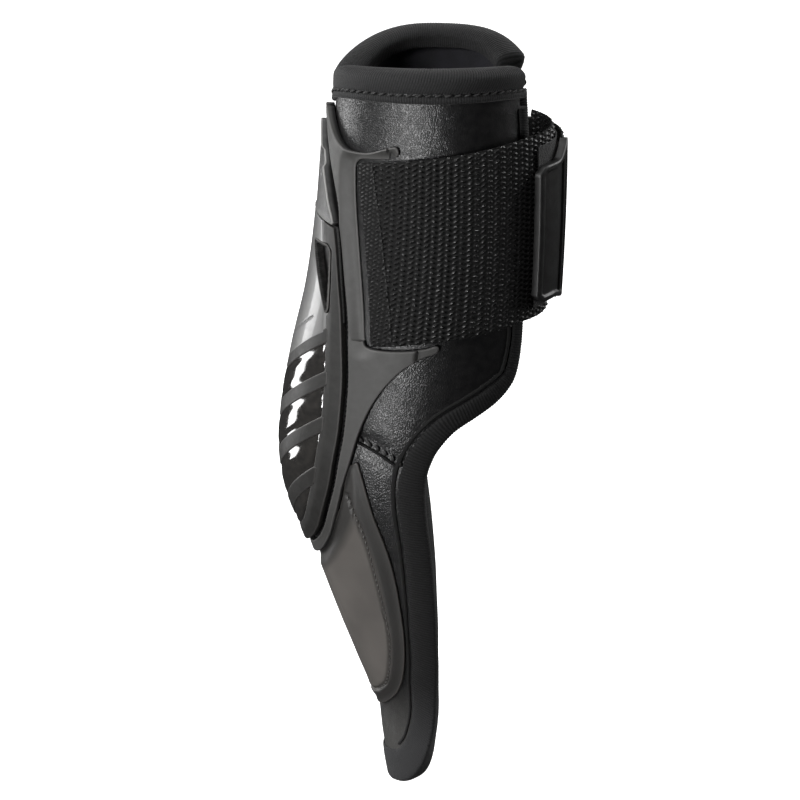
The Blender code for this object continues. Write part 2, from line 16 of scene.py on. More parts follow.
import bmesh
import bpy
import numpy as np
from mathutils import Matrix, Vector

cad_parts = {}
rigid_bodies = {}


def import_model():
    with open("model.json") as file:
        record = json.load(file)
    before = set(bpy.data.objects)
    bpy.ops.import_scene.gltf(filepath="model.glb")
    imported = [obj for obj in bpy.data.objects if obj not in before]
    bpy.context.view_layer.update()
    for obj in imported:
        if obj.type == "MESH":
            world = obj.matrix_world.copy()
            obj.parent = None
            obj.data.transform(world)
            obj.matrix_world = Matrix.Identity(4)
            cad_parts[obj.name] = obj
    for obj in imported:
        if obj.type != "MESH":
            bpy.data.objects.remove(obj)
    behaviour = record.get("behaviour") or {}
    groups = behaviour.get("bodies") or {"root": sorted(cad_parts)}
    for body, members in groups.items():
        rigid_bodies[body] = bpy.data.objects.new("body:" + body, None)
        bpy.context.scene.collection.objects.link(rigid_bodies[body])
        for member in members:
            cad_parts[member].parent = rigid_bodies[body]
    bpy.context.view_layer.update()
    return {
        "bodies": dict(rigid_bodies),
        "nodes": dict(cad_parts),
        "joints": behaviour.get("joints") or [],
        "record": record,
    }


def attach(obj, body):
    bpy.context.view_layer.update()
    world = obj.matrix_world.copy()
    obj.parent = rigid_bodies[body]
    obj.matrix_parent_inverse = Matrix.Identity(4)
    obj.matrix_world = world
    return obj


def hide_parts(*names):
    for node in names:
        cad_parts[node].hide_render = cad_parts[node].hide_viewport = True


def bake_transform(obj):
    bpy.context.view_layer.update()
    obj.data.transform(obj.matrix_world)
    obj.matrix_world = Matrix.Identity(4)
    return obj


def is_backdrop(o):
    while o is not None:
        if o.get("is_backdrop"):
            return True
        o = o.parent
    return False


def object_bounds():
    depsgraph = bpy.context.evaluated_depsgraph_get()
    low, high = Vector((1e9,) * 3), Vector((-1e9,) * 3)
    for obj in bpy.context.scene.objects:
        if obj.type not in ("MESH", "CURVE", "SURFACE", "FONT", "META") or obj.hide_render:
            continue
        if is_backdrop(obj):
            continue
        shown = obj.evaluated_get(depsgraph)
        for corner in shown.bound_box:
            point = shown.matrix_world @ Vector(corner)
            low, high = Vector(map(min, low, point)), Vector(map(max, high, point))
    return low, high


MM = 0.001

# The form of the leg, over the padding: height, back, front, half width.
LEG_FORM = (
    (80, -33.0, 35.0, 31.0),
    (52, -34.0, 36.0, 32.0),
    (30, -35.3, 37.0, 33.0),
    (8, -37.1, 37.5, 34.0),
    (-15, -40.3, 37.5, 34.7),
    (-37, -45.3, 37.0, 35.0),
    (-60, -49.3, 34.0, 35.0),
    (-76, -50.0, 31.0, 34.5),
    (-90, -47.6, 30.0, 33.5),
    (-105, -41.6, 29.2, 31.7),
    (-120, -36.2, 28.6, 29.6),
    (-138, -29.4, 28.0, 27.4),
    (-152, -23.8, 28.0, 25.6),
    (-166, -19.2, 28.6, 24.5),
    (-183, -17.0, 29.2, 23.6),
    (-202, -13.5, 30.5, 23.0),
)
PATTERN_RADIUS = 33.0
FRONT_S = math.pi * PATTERN_RADIUS
PROBE = 0.05  # the step for slopes in the pattern
SIDES = ((1, "near"), (-1, "far"))

# Layers, as (inner face, outer face) in r.
PADDING = (-6.0, 0.0)
LINING = (-8.0, -6.4)
FRAME = (0.5, 3.4)
WINDOW = (1.9, 4.0)
RIBS = (2.2, 4.7)
SHELL_RIM = (1.0, 4.9)
PLATE = (1.2, 4.6)
VENT = (2.6, 4.9)
STRIKE_PAD = (0.3, 2.8)
WEBBING = (1.6, 3.3)
LOOP = (3.6, 4.1)
HOOK = (4.4, 4.9)
STRAP = (1.6, 3.2)
TAB = (1.6, 3.9)

RIM_LOW, RIM_RISE = 64.0, 10.0
RIM_FALL_BACK, RIM_FALL_FRONT = 2.0, 3.5
FAR_RIM_FALL = (2.6, 5.0)
NEAR_RIM_DROP = 2.6
NEAR_RIM_LOW, NEAR_RIM_RISE = 64.6, 8.6  # the near side's sewn rim is squarer
BINDING_CAP = 2.0
FLAP_EDGE_S = 90.0
STRAP_LIFT = 4.2
LIFT_START_S = 52
STRAP_LEAN = 0.05
LEAN_LEVEL = 24.0
OVERLAP_LIFT = 3.6
PAD_OVERLAP = 0.8  # how far each half of the padding runs past the middle of the back
SLOPE = 0.145

# The edge of the padding on the near side, from the top of the flap round to the tip of the pastern guard.
PAD_EDGE = (
    (90, 54.4), (90, 20), (87.5, 0), (85.6, -18), (85.1, -31), (83.8, -41.8), (81.2, -46.5),
    (76.9, -50.6), (70.5, -54.9), (64.3, -59.5), (60.1, -65.9), (58, -72.2), (56.8, -80),
    (56.4, -96), (56, -115), (54.9, -131), (52, -149), (48, -163), (44, -176.5), (37.5, -187.4),
    (27, -194.6), (14, -196.8), (0, -197.2),
)  # fmt: skip

# The frame's near half, as smooth stretches that meet in corners.
FRAME_STRETCHES = (
    ((0, 52.7), (3.6, 52), (9.5, 47.3), (15.8, 42.4), (22, 40.3), (29, 40.6), (36.5, 43.4), (39.4, 44.2)),
    ((40.2, 44.0), (40.9, 41.4), (38.4, 39.5)),
    (
        (38, 39.4), (31, 38.6), (26.2, 38), (24.2, 36.4), (23.6, 33.5), (25, 20), (28.3, 2), (32.8, -19.5),
        (34.6, -27.6), (36.2, -29.6), (39, -30), (45, -30), (53, -29), (55.6, -27.8),
    ),
    ((56.4, -27.8), (57.0, -29.4), (55.8, -31)),
    (
        (53.1, -32), (48, -36), (43.5, -43), (40.3, -51.5), (38, -61.5), (36.4, -71.7), (34, -80.5),
        (30.2, -91.2), (23.2, -101.8), (13.3, -109.6), (0, -112.6),
    ),
)  # fmt: skip
POCKET_LINE = (
    (40, 39.4), (31, 38.6), (25, 37.6), (23.6, 33.5), (25, 20), (28.3, 2), (32.8, -19.5), (35.4, -29),
)  # fmt: skip
GROOVE = (
    (0, 50), (3, 47), (9.6, 34.8), (16.2, 21.4), (20.7, 7.6), (24, -6.4), (28.4, -24.2), (31.6, -40.2),
    (33, -54.7), (32.8, -67.8), (30.2, -82.9), (22.8, -97), (12, -105.2), (0, -107.8),
)  # fmt: skip
GROOVE_HALF = 0.6
PLATE_FOOT = 11.4
PLATE_FOOT_SLOPE = 0.12  # it rises towards the middle of the back
RIB_TOPS = (-23.0, -40.5, -58.0, -75.5)
RIB_DROP = 19.0
RIB_HEIGHT = 6.2
RIB_REACH = 24.5
SHELL_RIM_WIDTH = 6.2
VENT_BAND_FOOT = 5.6
VENT_EDGE = ((7.5, 4.8), (16.9, 4.8), (18.9, 3.0), (21.6, -18.5), (20.5, -20.5), (8.2, 1.9))
STRIKE_PAD_EDGE = (
    (38.2, -71.6), (40.4, -81.6), (42.6, -100), (43.7, -113.7), (43.3, -127.4), (41.4, -141),
    (36.6, -153.5), (30, -161.5), (21.5, -166.5), (12, -169.6), (0, -170.4),
)  # fmt: skip
STRIKE_PAD_HEAD = ((0, -113.3), (12.8, -109.5), (22.6, -101.2), (30.2, -91.3), (33.6, -82.2), (34.4, -74.6))
STRIKE_STITCHES = (
    (34.7, -84.5), (36.9, -96.9), (37.2, -116.2), (36.5, -135.6), (33, -147.5), (26.4, -157.7),
    (17.3, -162.4),
)  # fmt: skip
DART = ((36.9, -63), (41.1, -65.2), (45.9, -68.2), (51.2, -72.6))

WEBBING_ANCHOR_TOP, WEBBING_ANCHOR_FOOT = (26.0, 36.8), (37.2, -29.2)
WEBBING_LEVEL_S = 84.0
WEBBING_END = 121.0
STRAP_CORNER_S = 2 * FRONT_S - 76.0
STRAP_FRONT_S = 114.0
STRAP_TAB_S = 101.0
TAB_END = 84.0
TAB_SHOULDER = 94.0
STRAP_HALF = 30.0
STRAP_MIDDLE = 11.5
TAB_HALF = 25.0
TAB_MIDDLE = 9.5

# Two points of the row frame, in millimetres, where each soft piece would bend; bend doesn't use them.
FLAP_BEND = ((5.5, 0, 0), (11.5, 0, 0))
STRAP_BEND = ((-17, 0, 0), (-6, 0, 0))
WEBBING_CORNER_BEND = ((23.2, -32.4, 9), (31.8, -25.2, 9))
CLOSURE_CORNER_BEND = ((25.6, 35.0, 12), (33.9, 27.7, 12))
CLOSURE_FRONT_BEND = ((42.2, 17.6, 12), (47.0, 9.9, 12))
TAB_BEND = ((48.0, -0.6, 12), (47.6, -6.8, 12))


def ramp(value, zero_at, one_at):
    """Rises smoothly from 0 to 1 as the value goes from one place to the other, and is level past them."""
    t = np.clip((value - zero_at) / (one_at - zero_at), 0, 1)
    return t * t * (3 - 2 * t)


def swell(distance, reach):
    """A soft bump of height 1, which has died away at about twice its reach."""
    return np.exp(-((distance / reach) ** 2))


def columns(*values):
    """Arrays of one size, as the columns of a table."""
    return np.stack([np.ravel(v) for v in values], axis=1)


def unit(vectors):
    return vectors / (np.linalg.norm(vectors, axis=1, keepdims=True) + 1e-12)


def leg_section(z):
    """(middle, half length, half width) of the form at each height z."""
    table = np.array(LEG_FORM[::-1], float)
    heights, values = table[:, 0], table[:, 1:]
    slopes = np.gradient(values, heights, axis=0)
    i = np.clip(np.searchsorted(heights, z) - 1, 0, len(heights) - 2)
    step = (heights[i + 1] - heights[i])[:, None]
    t = np.clip((z - heights[i])[:, None] / step, 0, 1)
    back, front, half_width = (
        (2 * t**3 - 3 * t**2 + 1) * values[i]
        + (t**3 - 2 * t**2 + t) * step * slopes[i]
        + (3 * t**2 - 2 * t**3) * values[i + 1]
        + (t**3 - t**2) * step * slopes[i + 1]
    ).T
    return (back + front) / 2, (front - back) / 2, half_width


def on_form(s, z):
    middle, half_length, half_width = leg_section(z)
    angle = s / PATTERN_RADIUS
    return columns(middle - half_length * np.cos(angle), -half_width * np.sin(angle), z)


def wrap(s, z, r):
    """The points in space, in metres, of points of the flat pattern."""
    along = on_form(s + PROBE, z) - on_form(s - PROBE, z)
    up = on_form(s, z + PROBE) - on_form(s, z - PROBE)
    return (on_form(s, z) + unit(np.cross(along, up)) * r[:, None]) * MM


def nothing(s, *others):
    return 0.0 * s


def webbing_lift(s, z):
    """How far the webbing stands off the form as it nears the open front."""
    towards_front = ramp(FRONT_S - np.abs(s - FRONT_S), LIFT_START_S, FRONT_S)
    return (STRAP_LIFT + STRAP_LEAN * (z - LEAN_LEVEL)) * towards_front


def closure_lift(s, z):
    """The closure strap starts in the far pocket, then climbs onto the webbing."""
    return webbing_lift(s, z) + OVERLAP_LIFT * ramp(s, 152, 128)


def smooth_line(points, step=1.2):
    """Points about one step apart on a Catmull-Rom curve through the given ones."""
    p = [np.array(q, float) for q in points]
    p = [2 * p[0] - p[1], *p, 2 * p[-1] - p[-2]]
    line = []
    for a, b, c, d in zip(p, p[1:], p[2:], p[3:]):
        square, cube = 2 * a - 5 * b + 4 * c - d, 3 * b - a - 3 * c + d
        count = max(1, round(np.linalg.norm(c - b) / step))
        for t in (k / count for k in range(count)):
            line.append(0.5 * (2 * b + (c - a) * t + square * t**2 + cube * t**3))
    line.append(p[-2])
    return np.array(line)


def length_along(line):
    """How far along the line each of its points is."""
    return np.concatenate([[0], np.cumsum(np.linalg.norm(np.diff(line, axis=0), axis=1))])


def read_line(values, along, places):
    """The two values that a line's points carry, read at these places along it."""
    return columns(*(np.interp(places, along, values[:, k]) for k in (0, 1)))


def spaced(line, step):
    """The same line with its points evenly spaced, about one step apart."""
    line = np.asarray(line, float)
    along = length_along(line)
    count = max(2, round(along[-1] / step) + 1)
    return read_line(line, along, np.linspace(0, along[-1], count))


def mirrored(line):
    return np.asarray(line)[::-1] * (-1, 1)


def turns_of(count):
    """Angles evenly spaced round a circle."""
    return np.arange(count) * 2 * math.pi / count


def right_of(line):
    """The unit vector to the right of the line's direction, at each point."""
    tangent = unit(np.gradient(np.asarray(line, float), axis=0))
    return columns(tangent[:, 1], -tangent[:, 0])


def pad_top(s, falls=(RIM_FALL_BACK, RIM_FALL_FRONT)):
    backwards = np.cos(s / PATTERN_RADIUS)
    fall = np.where(backwards > 0, *falls)
    return RIM_LOW + RIM_RISE * (1 - np.abs(backwards) ** fall) - BINDING_CAP


def near_rim(s):
    sideways = np.abs(np.sin(s / PATTERN_RADIUS))
    return NEAR_RIM_LOW + NEAR_RIM_RISE * sideways**0.8 - BINDING_CAP - NEAR_RIM_DROP * sideways


def far_rim(s):
    return pad_top(s, FAR_RIM_FALL)


# Shapes in the pattern, as the distance inside them.


def distance_to(line, s, z):
    """From each point to the nearest place on a line."""
    best = np.full(len(s), 1e9)
    for (s0, z0), (s1, z1) in zip(line[:-1], line[1:]):
        ds, dz = s1 - s0, z1 - z0
        t = np.clip(((s - s0) * ds + (z - z0) * dz) / (ds * ds + dz * dz + 1e-12), 0, 1)
        np.minimum(best, (s - s0 - t * ds) ** 2 + (z - z0 - t * dz) ** 2, out=best)
    return np.sqrt(best)


def is_inside(outline, s, z):
    odd = np.zeros(len(s), bool)
    for (s0, z0), (s1, z1) in zip(outline, np.roll(outline, -1, axis=0)):
        if z0 != z1:
            odd ^= ((z0 > z) != (z1 > z)) & (s < s0 + (z - z0) * (s1 - s0) / (z1 - z0))
    return odd


def depth(outline, s, z):
    """How far inside the closed outline each point is. It is negative outside."""
    outline = np.asarray(outline, float)
    away = distance_to(np.vstack([outline, outline[:1]]), s, z)
    return np.where(is_inside(outline, s, z), away, -away)


def side_depth(half, s, z):
    """The same for a shape with two like sides, from its near half, from middle line to middle line."""
    half = np.asarray(half, float)
    near = np.abs(s)
    away = distance_to(half, near, z)
    closed = np.vstack([half, [[-99, half[-1, 1]], [-99, half[0, 1]]]])
    return np.where(is_inside(closed, near, z), away, -away)


def eased(line, reach):
    """The line with its corners rounded over about the reach. Its ends stay."""
    step = 0.5
    dense = spaced(line, step)
    n = max(1, round(reach / step))
    padded = np.vstack([np.repeat(dense[:1], n, axis=0), dense, np.repeat(dense[-1:], n, axis=0)])
    soft = sum(padded[k : k + len(dense)] for k in range(2 * n + 1)) / (2 * n + 1)
    soft[0], soft[-1] = dense[0], dense[-1]
    return soft


# Meshes.


def add_mesh(name, pattern, faces, look, lift=nothing, edge=None):
    """A piece from its points in the pattern, wrapped round the form. faces holds arrays of polygons."""
    corners = np.concatenate([f.ravel() for f in faces])
    used, corners = np.unique(corners, return_inverse=True)
    pattern = pattern[used]
    s, z, r = pattern.T
    points = wrap(s, z, r + lift(s, z))
    sizes = np.concatenate([np.full(len(f), f.shape[1]) for f in faces])
    mesh = bpy.data.meshes.new(name)
    mesh.vertices.add(len(points))
    mesh.vertices.foreach_set("co", points.astype(np.float32).ravel())
    mesh.loops.add(len(corners))
    mesh.loops.foreach_set("vertex_index", corners.astype(np.int32).ravel())
    mesh.polygons.add(len(sizes))
    mesh.polygons.foreach_set("loop_start", np.concatenate([[0], np.cumsum(sizes)[:-1]]).astype(np.int32))
    mesh.update(calc_edges=True)
    mesh.validate()
    flat = mesh.attributes.new("pattern", "FLOAT_VECTOR", "POINT")
    flat.data.foreach_set("vector", pattern.astype(np.float32).ravel())
    # The "edge" layer carries values that the looks turn into colour: wear and painted shade on mouldings,
    # painted shade between the yarns and ribs of tapes.
    if edge is not None:
        worn = mesh.attributes.new("edge", "FLOAT", "POINT")
        worn.data.foreach_set("value", edge[used].astype(np.float32))
    mesh.materials.append(look)
    mesh.shade_smooth()
    mesh.set_sharp_from_angle(angle=math.radians(38))
    obj = bpy.data.objects.new(name, mesh)
    bpy.context.scene.collection.objects.link(obj)
    return obj


def cut_out(s, z, shape, value):
    """The part of a grid where value is positive: (s, z, triangles, rim edges, number of grid points)."""
    index = np.arange(len(s)).reshape(shape)
    a, b, c, d = index[:-1, :-1], index[1:, :-1], index[1:, 1:], index[:-1, 1:]
    triangles = np.concatenate([columns(a, b, c), columns(a, c, d)])
    kept = value[triangles] > 0
    count = kept.sum(axis=1)

    def odd_first(number, odd):
        turn = (odd[count == number].argmax(axis=1)[:, None] + np.arange(3)) % 3
        return np.take_along_axis(triangles[count == number], turn, axis=1)

    one, two = odd_first(1, kept), odd_first(2, ~kept)
    pairs = np.concatenate([one[:, :2], one[:, ::2], two[:, :2], two[:, ::2]])
    ends, which = np.unique(np.sort(pairs, axis=1), axis=0, return_inverse=True)
    which = which.reshape(-1) + len(s)
    one_q, one_r, two_q, two_r = np.split(which, np.cumsum([len(one), len(one), len(two)]))
    first, last = ends.T
    share = value[first] / (value[first] - value[last])
    cut_s, cut_z = (v[first] + share * (v[last] - v[first]) for v in (s, z))
    cut_faces = (
        columns(one[:, 0], one_q, one_r),
        columns(two_q, two[:, 1], two[:, 2]),
        columns(two_q, two[:, 2], two_r),
    )
    faces = np.concatenate([triangles[count == 3], *cut_faces])
    rim = np.concatenate([columns(one_q, one_r), columns(two_r, two_q)])
    return np.concatenate([s, cut_s]), np.concatenate([z, cut_z]), faces, rim, len(s)


# On a moulding's wall and back, tint_edges turns this value into painted shade.
BELOW_EDGE = 30.0  # the value of a moulding's "edge" on its wall and its back


def moulded(name, region, box, layer, look, bevel=0.6, pitch=0.8, height=nothing, lift=nothing):
    """A moulding with a rounded edge. region gives the distance inside its outline, and height adds to r."""
    inner, outer = layer
    places = [np.arange(low, high + pitch, pitch) for low, high in zip(*box)]
    s, z = (g.ravel() for g in np.meshgrid(*places, indexing="ij"))
    s, z, faces, rim, grid_count = cut_out(s, z, [len(p) for p in places], region(s, z) - bevel)
    top_count = len(s)
    inside = region(s, z)
    top = outer + height(s, z, inside)
    ring_s, ring_z, ring_top = s[grid_count:], z[grid_count:], top[grid_count:]
    ring_count = len(ring_s)
    away = -unit(columns(
        region(ring_s + PROBE, ring_z) - region(ring_s - PROBE, ring_z),
        region(ring_s, ring_z + PROBE) - region(ring_s, ring_z - PROBE),
    ))  # fmt: skip
    turns = [math.radians(angle) for angle in (30, 60, 90)]
    steps = [(bevel * math.sin(t), ring_top - bevel * (1 - math.cos(t))) for t in turns]
    steps.append((bevel, np.full(ring_count, inner)))
    points = [columns(s, z, top)]
    points += [columns(ring_s + away[:, 0] * reach, ring_z + away[:, 1] * reach, r) for reach, r in steps]
    points.append(columns(s, z, np.full(top_count, inner)))
    back = top_count + len(steps) * ring_count
    rings = [rim - grid_count + top_count + k * ring_count for k in range(len(steps))]
    rings = [rim, *rings, rim + back]
    strips = [columns(a[:, 1], a[:, 0], b[:, 0], b[:, 1]) for a, b in zip(rings, rings[1:])]
    rounded = np.zeros(ring_count * (len(steps) - 1))
    edge = np.concatenate([np.minimum(inside, 9), rounded, np.full(ring_count + top_count, BELOW_EDGE)])
    return add_mesh(name, np.concatenate(points), [faces, faces[:, ::-1] + back, *strips], look, lift, edge)


def grid_faces(across, along, first=0):
    """Quads over a grid of points that is stored row after row, with the rows along the second count."""
    index = np.arange(across * along).reshape(across, along) + first
    return columns(index[:-1, :-1], index[1:, :-1], index[1:, 1:], index[:-1, 1:])


def slab(name, s, z, inner, outer, look, lift=nothing, tint=None):
    """A closed sheet from two-dimensional arrays of pattern points, with s growing along the first axis."""
    across, along = s.shape
    count = across * along
    pattern = np.concatenate([columns(s, z, outer), columns(s, z, inner)])
    index = np.arange(count).reshape(across, along)
    border = np.concatenate([index[:, 0], index[-1, 1:], index[-2::-1, -1], index[0, -2:0:-1]])
    following = np.roll(border, -1)
    walls = columns(following, border, border + count, following + count)
    faces = [grid_faces(across, along), grid_faces(across, along, count)[:, ::-1], walls]
    # For woven tape, tint is the weave height, which the webbing look turns into painted shade between the
    # yarns.
    edge = None if tint is None else np.tile(tint.ravel(), 2)
    return add_mesh(name, pattern, faces, look, lift, edge)


def swept(name, line, section, tint, look):
    """A closed section swept along a line. section is an array of (w, r) for each point of the line, or one
    for all of them. w counts to the right of the line's direction. tint is a value for the look."""
    line = np.asarray(line, float)
    section = np.broadcast_to(section, (len(line), *np.asarray(section).shape[-2:]))
    side = right_of(line)
    w, r = section[:, :, 0], section[:, :, 1]
    pattern = columns(line[:, None, 0] + side[:, None, 0] * w, line[:, None, 1] + side[:, None, 1] * w, r)
    index = np.arange(w.size).reshape(w.shape)
    after = np.roll(index, -1, axis=1)
    sides = columns(index[:-1], after[:-1], after[1:], index[1:])
    start = columns(np.full_like(index[0], w.size), after[0], index[0])
    end = columns(after[-1], np.full_like(index[0], w.size + 1), index[-1])
    middles = pattern.reshape(*w.shape, 3).mean(axis=1)[[0, -1]]
    # For ribbed tapes, tint is the rib height, which the knit look turns into painted shade between the ribs.
    edge = None if tint is None else np.append(tint.ravel(), (0.5, 0.5))
    obj = add_mesh(name, np.concatenate([pattern, middles]), [sides, start, end], look, edge=edge)
    face_outwards(obj)
    return obj


def face_outwards(obj):
    """Turns the faces over if they point in, going by the volume that they enclose."""
    mesh = obj.data
    mesh.calc_loop_triangles()
    triangles = np.empty(len(mesh.loop_triangles) * 3, np.int32)
    mesh.loop_triangles.foreach_get("vertices", triangles)
    p = points_of(obj)[triangles.reshape(-1, 3)]
    if np.einsum("ij,ij->i", p[:, 0], np.cross(p[:, 1], p[:, 2])).sum() < 0:
        mesh.flip_normals()


def threads(name, line, look, length, pitch, width, r, slant=0.0):
    """A row of stitches along a line: each a thread that dips into the cloth at both ends."""
    line = spaced(line, 0.2)
    along = length_along(line)
    centres = np.arange(pitch / 2, along[-1], pitch)
    places = read_line(line, along, centres)
    sideways = read_line(right_of(line), along, centres)
    forwards = columns(-sideways[:, 1], sideways[:, 0])
    turn_count, ring_count = 8, 7
    u = np.linspace(-1, 1, ring_count)
    turns = turns_of(turn_count)
    radius = width / 2 * np.sqrt(np.maximum(1 - u**4, 0.03))
    forward = np.repeat(u * length / 2, turn_count)
    side = (radius[:, None] * np.cos(turns)).ravel() + forward * slant
    rise = (radius[:, None] * np.sin(turns) - width * 0.5 * (u**2)[:, None]).ravel()
    flat = places[:, None, :] + forwards[:, None, :] * forward[:, None] + sideways[:, None, :] * side[:, None]
    pattern = np.concatenate([flat, np.broadcast_to(r + rise[:, None], (*flat.shape[:2], 1))], axis=2)
    index = np.arange(ring_count * turn_count).reshape(ring_count, turn_count)
    after = np.roll(index, -1, axis=1)
    body = columns(index[:-1], index[1:], after[1:], after[:-1])
    caps = np.stack([index[0][::-1], index[-1]])
    starts = np.arange(len(places))[:, None, None] * len(forward)
    faces = [(body + starts).reshape(-1, 4), (caps + starts).reshape(-1, turn_count)]
    obj = add_mesh(name, pattern.reshape(-1, 3), faces, look)
    face_outwards(obj)
    return obj


def dress(nodes):
    if nodes:
        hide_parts(*nodes)


def fix(obj, slot, *nodes, body="sleeve"):
    """Lets a piece ride on one body, in place of these nodes."""
    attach(obj, body)
    dress(nodes)


def bend(obj, slot, a, b, places, *nodes):
    """Bakes in the piece's transform, in place of these nodes, which it hides. It doesn't bend: the two
    bodies and the places are not used.
    """
    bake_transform(obj)
    dress(nodes)


# Materials.


class Look:
    """A material under construction, with short ways to add nodes. A grey is given as one number."""

    def __init__(self, name, colour, roughness, specular=0.5, **sockets):
        self.material = bpy.data.materials.new(name)
        self.material.use_nodes = True
        self.tree = self.material.node_tree
        self.shader = self.tree.nodes["Principled BSDF"]
        own = {"Base_Color": rgba(colour), "Roughness": roughness, "Specular_IOR_Level": specular}
        for socket, value in (own | sockets).items():
            self.shader.inputs[socket.replace("_", " ")].default_value = value
        self.height = None

    def node(self, kind, **settings):
        made = self.tree.nodes.new(kind)
        for key, value in settings.items():
            if key[0].isupper():
                made.inputs[key.replace("_", " ")].default_value = value
            else:
                setattr(made, key, value)
        return made

    def link(self, output, socket):
        self.tree.links.new(output, socket)

    def attribute(self, name, output):
        return self.node("ShaderNodeAttribute", attribute_name=name).outputs[output]

    def pattern(self):
        return self.attribute("pattern", "Vector")

    def edge(self):
        return self.attribute("edge", "Fac")

    def in_space(self, scale):
        """The place in the row frame, for an object that has no pattern."""
        made = self.node("ShaderNodeVectorMath", operation="SCALE", Scale=scale)
        self.link(self.node("ShaderNodeTexCoord").outputs["Object"], made.inputs[0])
        return made.outputs[0]

    def math(self, operation, a, b=0.0):
        made = self.node("ShaderNodeMath", operation=operation)
        for socket, value in zip(made.inputs, (a, b)):
            if isinstance(value, float):
                socket.default_value = value
            else:
                self.link(value, socket)
        return made.outputs[0]

    def texture(self, kind, where, output, **settings):
        made = self.node("ShaderNodeTex" + kind, **settings)
        self.link(where, made.inputs["Vector"])
        return made.outputs[output]

    def cells(self, where, scale, feature="F1"):
        return self.texture("Voronoi", where, "Distance", Scale=scale, feature=feature)

    def noise(self, where, scale, detail=3.0, roughness=0.5, output="Fac"):
        return self.texture("Noise", where, output, Scale=scale, Detail=detail, Roughness=roughness)

    def twill(self, where, scale, **settings):
        """Slanting fibres."""
        settings |= {"wave_type": "BANDS", "bands_direction": "DIAGONAL", "Scale": scale}
        return self.texture("Wave", where, "Fac", **settings)

    def spread(self, value, low, high, to_low, to_high):
        made = self.node("ShaderNodeMapRange", From_Min=low, From_Max=high, To_Min=to_low, To_Max=to_high)
        self.link(value, made.inputs["Value"])
        return made.outputs["Result"]

    def spread_noise(self, value, to_low, to_high):
        """A noise keeps mostly between 0.3 and 0.7, which this spreads over another range."""
        return self.spread(value, 0.3, 0.7, to_low, to_high)

    def tint(self, value, dark, light, clamp=False):
        """Colours the surface between two colours by a value from 0 to 1."""
        made = self.node("ShaderNodeMix", data_type="RGBA", clamp_factor=clamp)
        self.link(value, made.inputs[0])
        for socket, colour in zip(made.inputs[6:8], (dark, light)):
            if isinstance(colour, bpy.types.NodeSocket):
                self.link(colour, socket)
            else:
                socket.default_value = rgba(colour)
        self.link(made.outputs[2], self.shader.inputs["Base Color"])
        return made.outputs[2]

    def tint_edges(self, base, light):
        """As tint, but worn lighter within half a millimetre of a moulding's edge, with painted shade down
        its wall.
        """
        edge = self.edge()
        worn = self.spread(edge, 0.0, 0.7, 1.0, 0.0)
        slow = self.spread_noise(self.noise(self.pattern(), 0.5), 0.0, 0.15)
        colour = self.tint(self.math("ADD", self.math("MULTIPLY", worn, 0.7), slow), base, light)
        # Painted shade: the wall and the back of a moulding are mixed towards black.
        wall = self.spread(edge, 0.3 * BELOW_EDGE, 0.7 * BELOW_EDGE, 0.0, 0.95)
        self.tint(wall, colour, 0.0, clamp=True)

    def near_tip(self):
        """From 0 above the strike pad's foot to 1 at the guard's tip."""
        split = self.node("ShaderNodeSeparateXYZ")
        self.link(self.pattern(), split.inputs[0])
        return self.spread(split.outputs[1], -182.0, -158.0, 1.0, 0.0)

    def rough(self, value):
        self.link(value, self.shader.inputs["Roughness"])

    def bump(self, value, distance, strength=1.0):
        """Adds a relief of this height in millimetres."""
        made = self.node("ShaderNodeBump", Strength=strength, Distance=distance * MM)
        self.link(value, made.inputs["Height"])
        if self.height is not None:
            self.link(self.height, made.inputs["Normal"])
        self.height = made.outputs["Normal"]
        self.link(self.height, self.shader.inputs["Normal"])

    def grain(self, where, height):
        """A spark-eroded grain over slow dents."""
        self.bump(self.noise(where, 6.0, 2.0, 0.6), height, 0.5)
        self.bump(self.noise(where, 0.12, 2.0), 0.25, 0.3)


def rgba(colour):
    return (*(colour if isinstance(colour, tuple) else (colour,) * 3), 1)


def leather_look():
    look = Look("leather", (0.008, 0.008, 0.009), 0.36, 0.6)
    where = look.pattern()
    swayed = look.node("ShaderNodeVectorMath", operation="MULTIPLY_ADD")
    look.link(look.noise(where, 0.16, 2.0, output="Color"), swayed.inputs[0])
    swayed.inputs[1].default_value = (3.0, 3.0, 3.0)
    look.link(where, swayed.inputs[2])
    turned = look.node("ShaderNodeMapping", Rotation=(0, 0, math.radians(35)), Scale=(1.25, 0.85, 0.2))
    look.link(swayed.outputs[0], turned.inputs["Vector"])
    pebble = look.cells(turned.outputs["Vector"], 1.25, "DISTANCE_TO_EDGE")
    fine = look.noise(where, 3.2, 3.0, 0.6)
    broad = look.noise(where, 0.35, 3.0, 0.55)
    look.bump(broad, 0.06, 0.5)
    look.bump(look.spread(pebble, 0.0, 0.28, 0.0, 1.0), 0.056, 0.8)
    look.bump(fine, 0.016, 0.6)
    worn = look.math("ADD", look.spread(broad, 0.35, 0.65, 0.0, 0.12), look.near_tip())
    look.tint(worn, (0.004, 0.004, 0.0045), (0.055, 0.054, 0.052))
    look.rough(look.spread_noise(fine, 0.3, 0.42))
    return look.material


def lining_look():
    look = Look("lining", (0.006, 0.006, 0.007), 0.85, 0.25, Sheen_Weight=0.15)
    where = look.pattern()
    look.bump(look.cells(where, 1.6), 0.12, 0.6)
    patchy = look.spread_noise(look.noise(where, 0.15), 0.0, 1.0)
    look.tint(patchy, (0.008, 0.008, 0.01), (0.014, 0.014, 0.018))
    return look.material


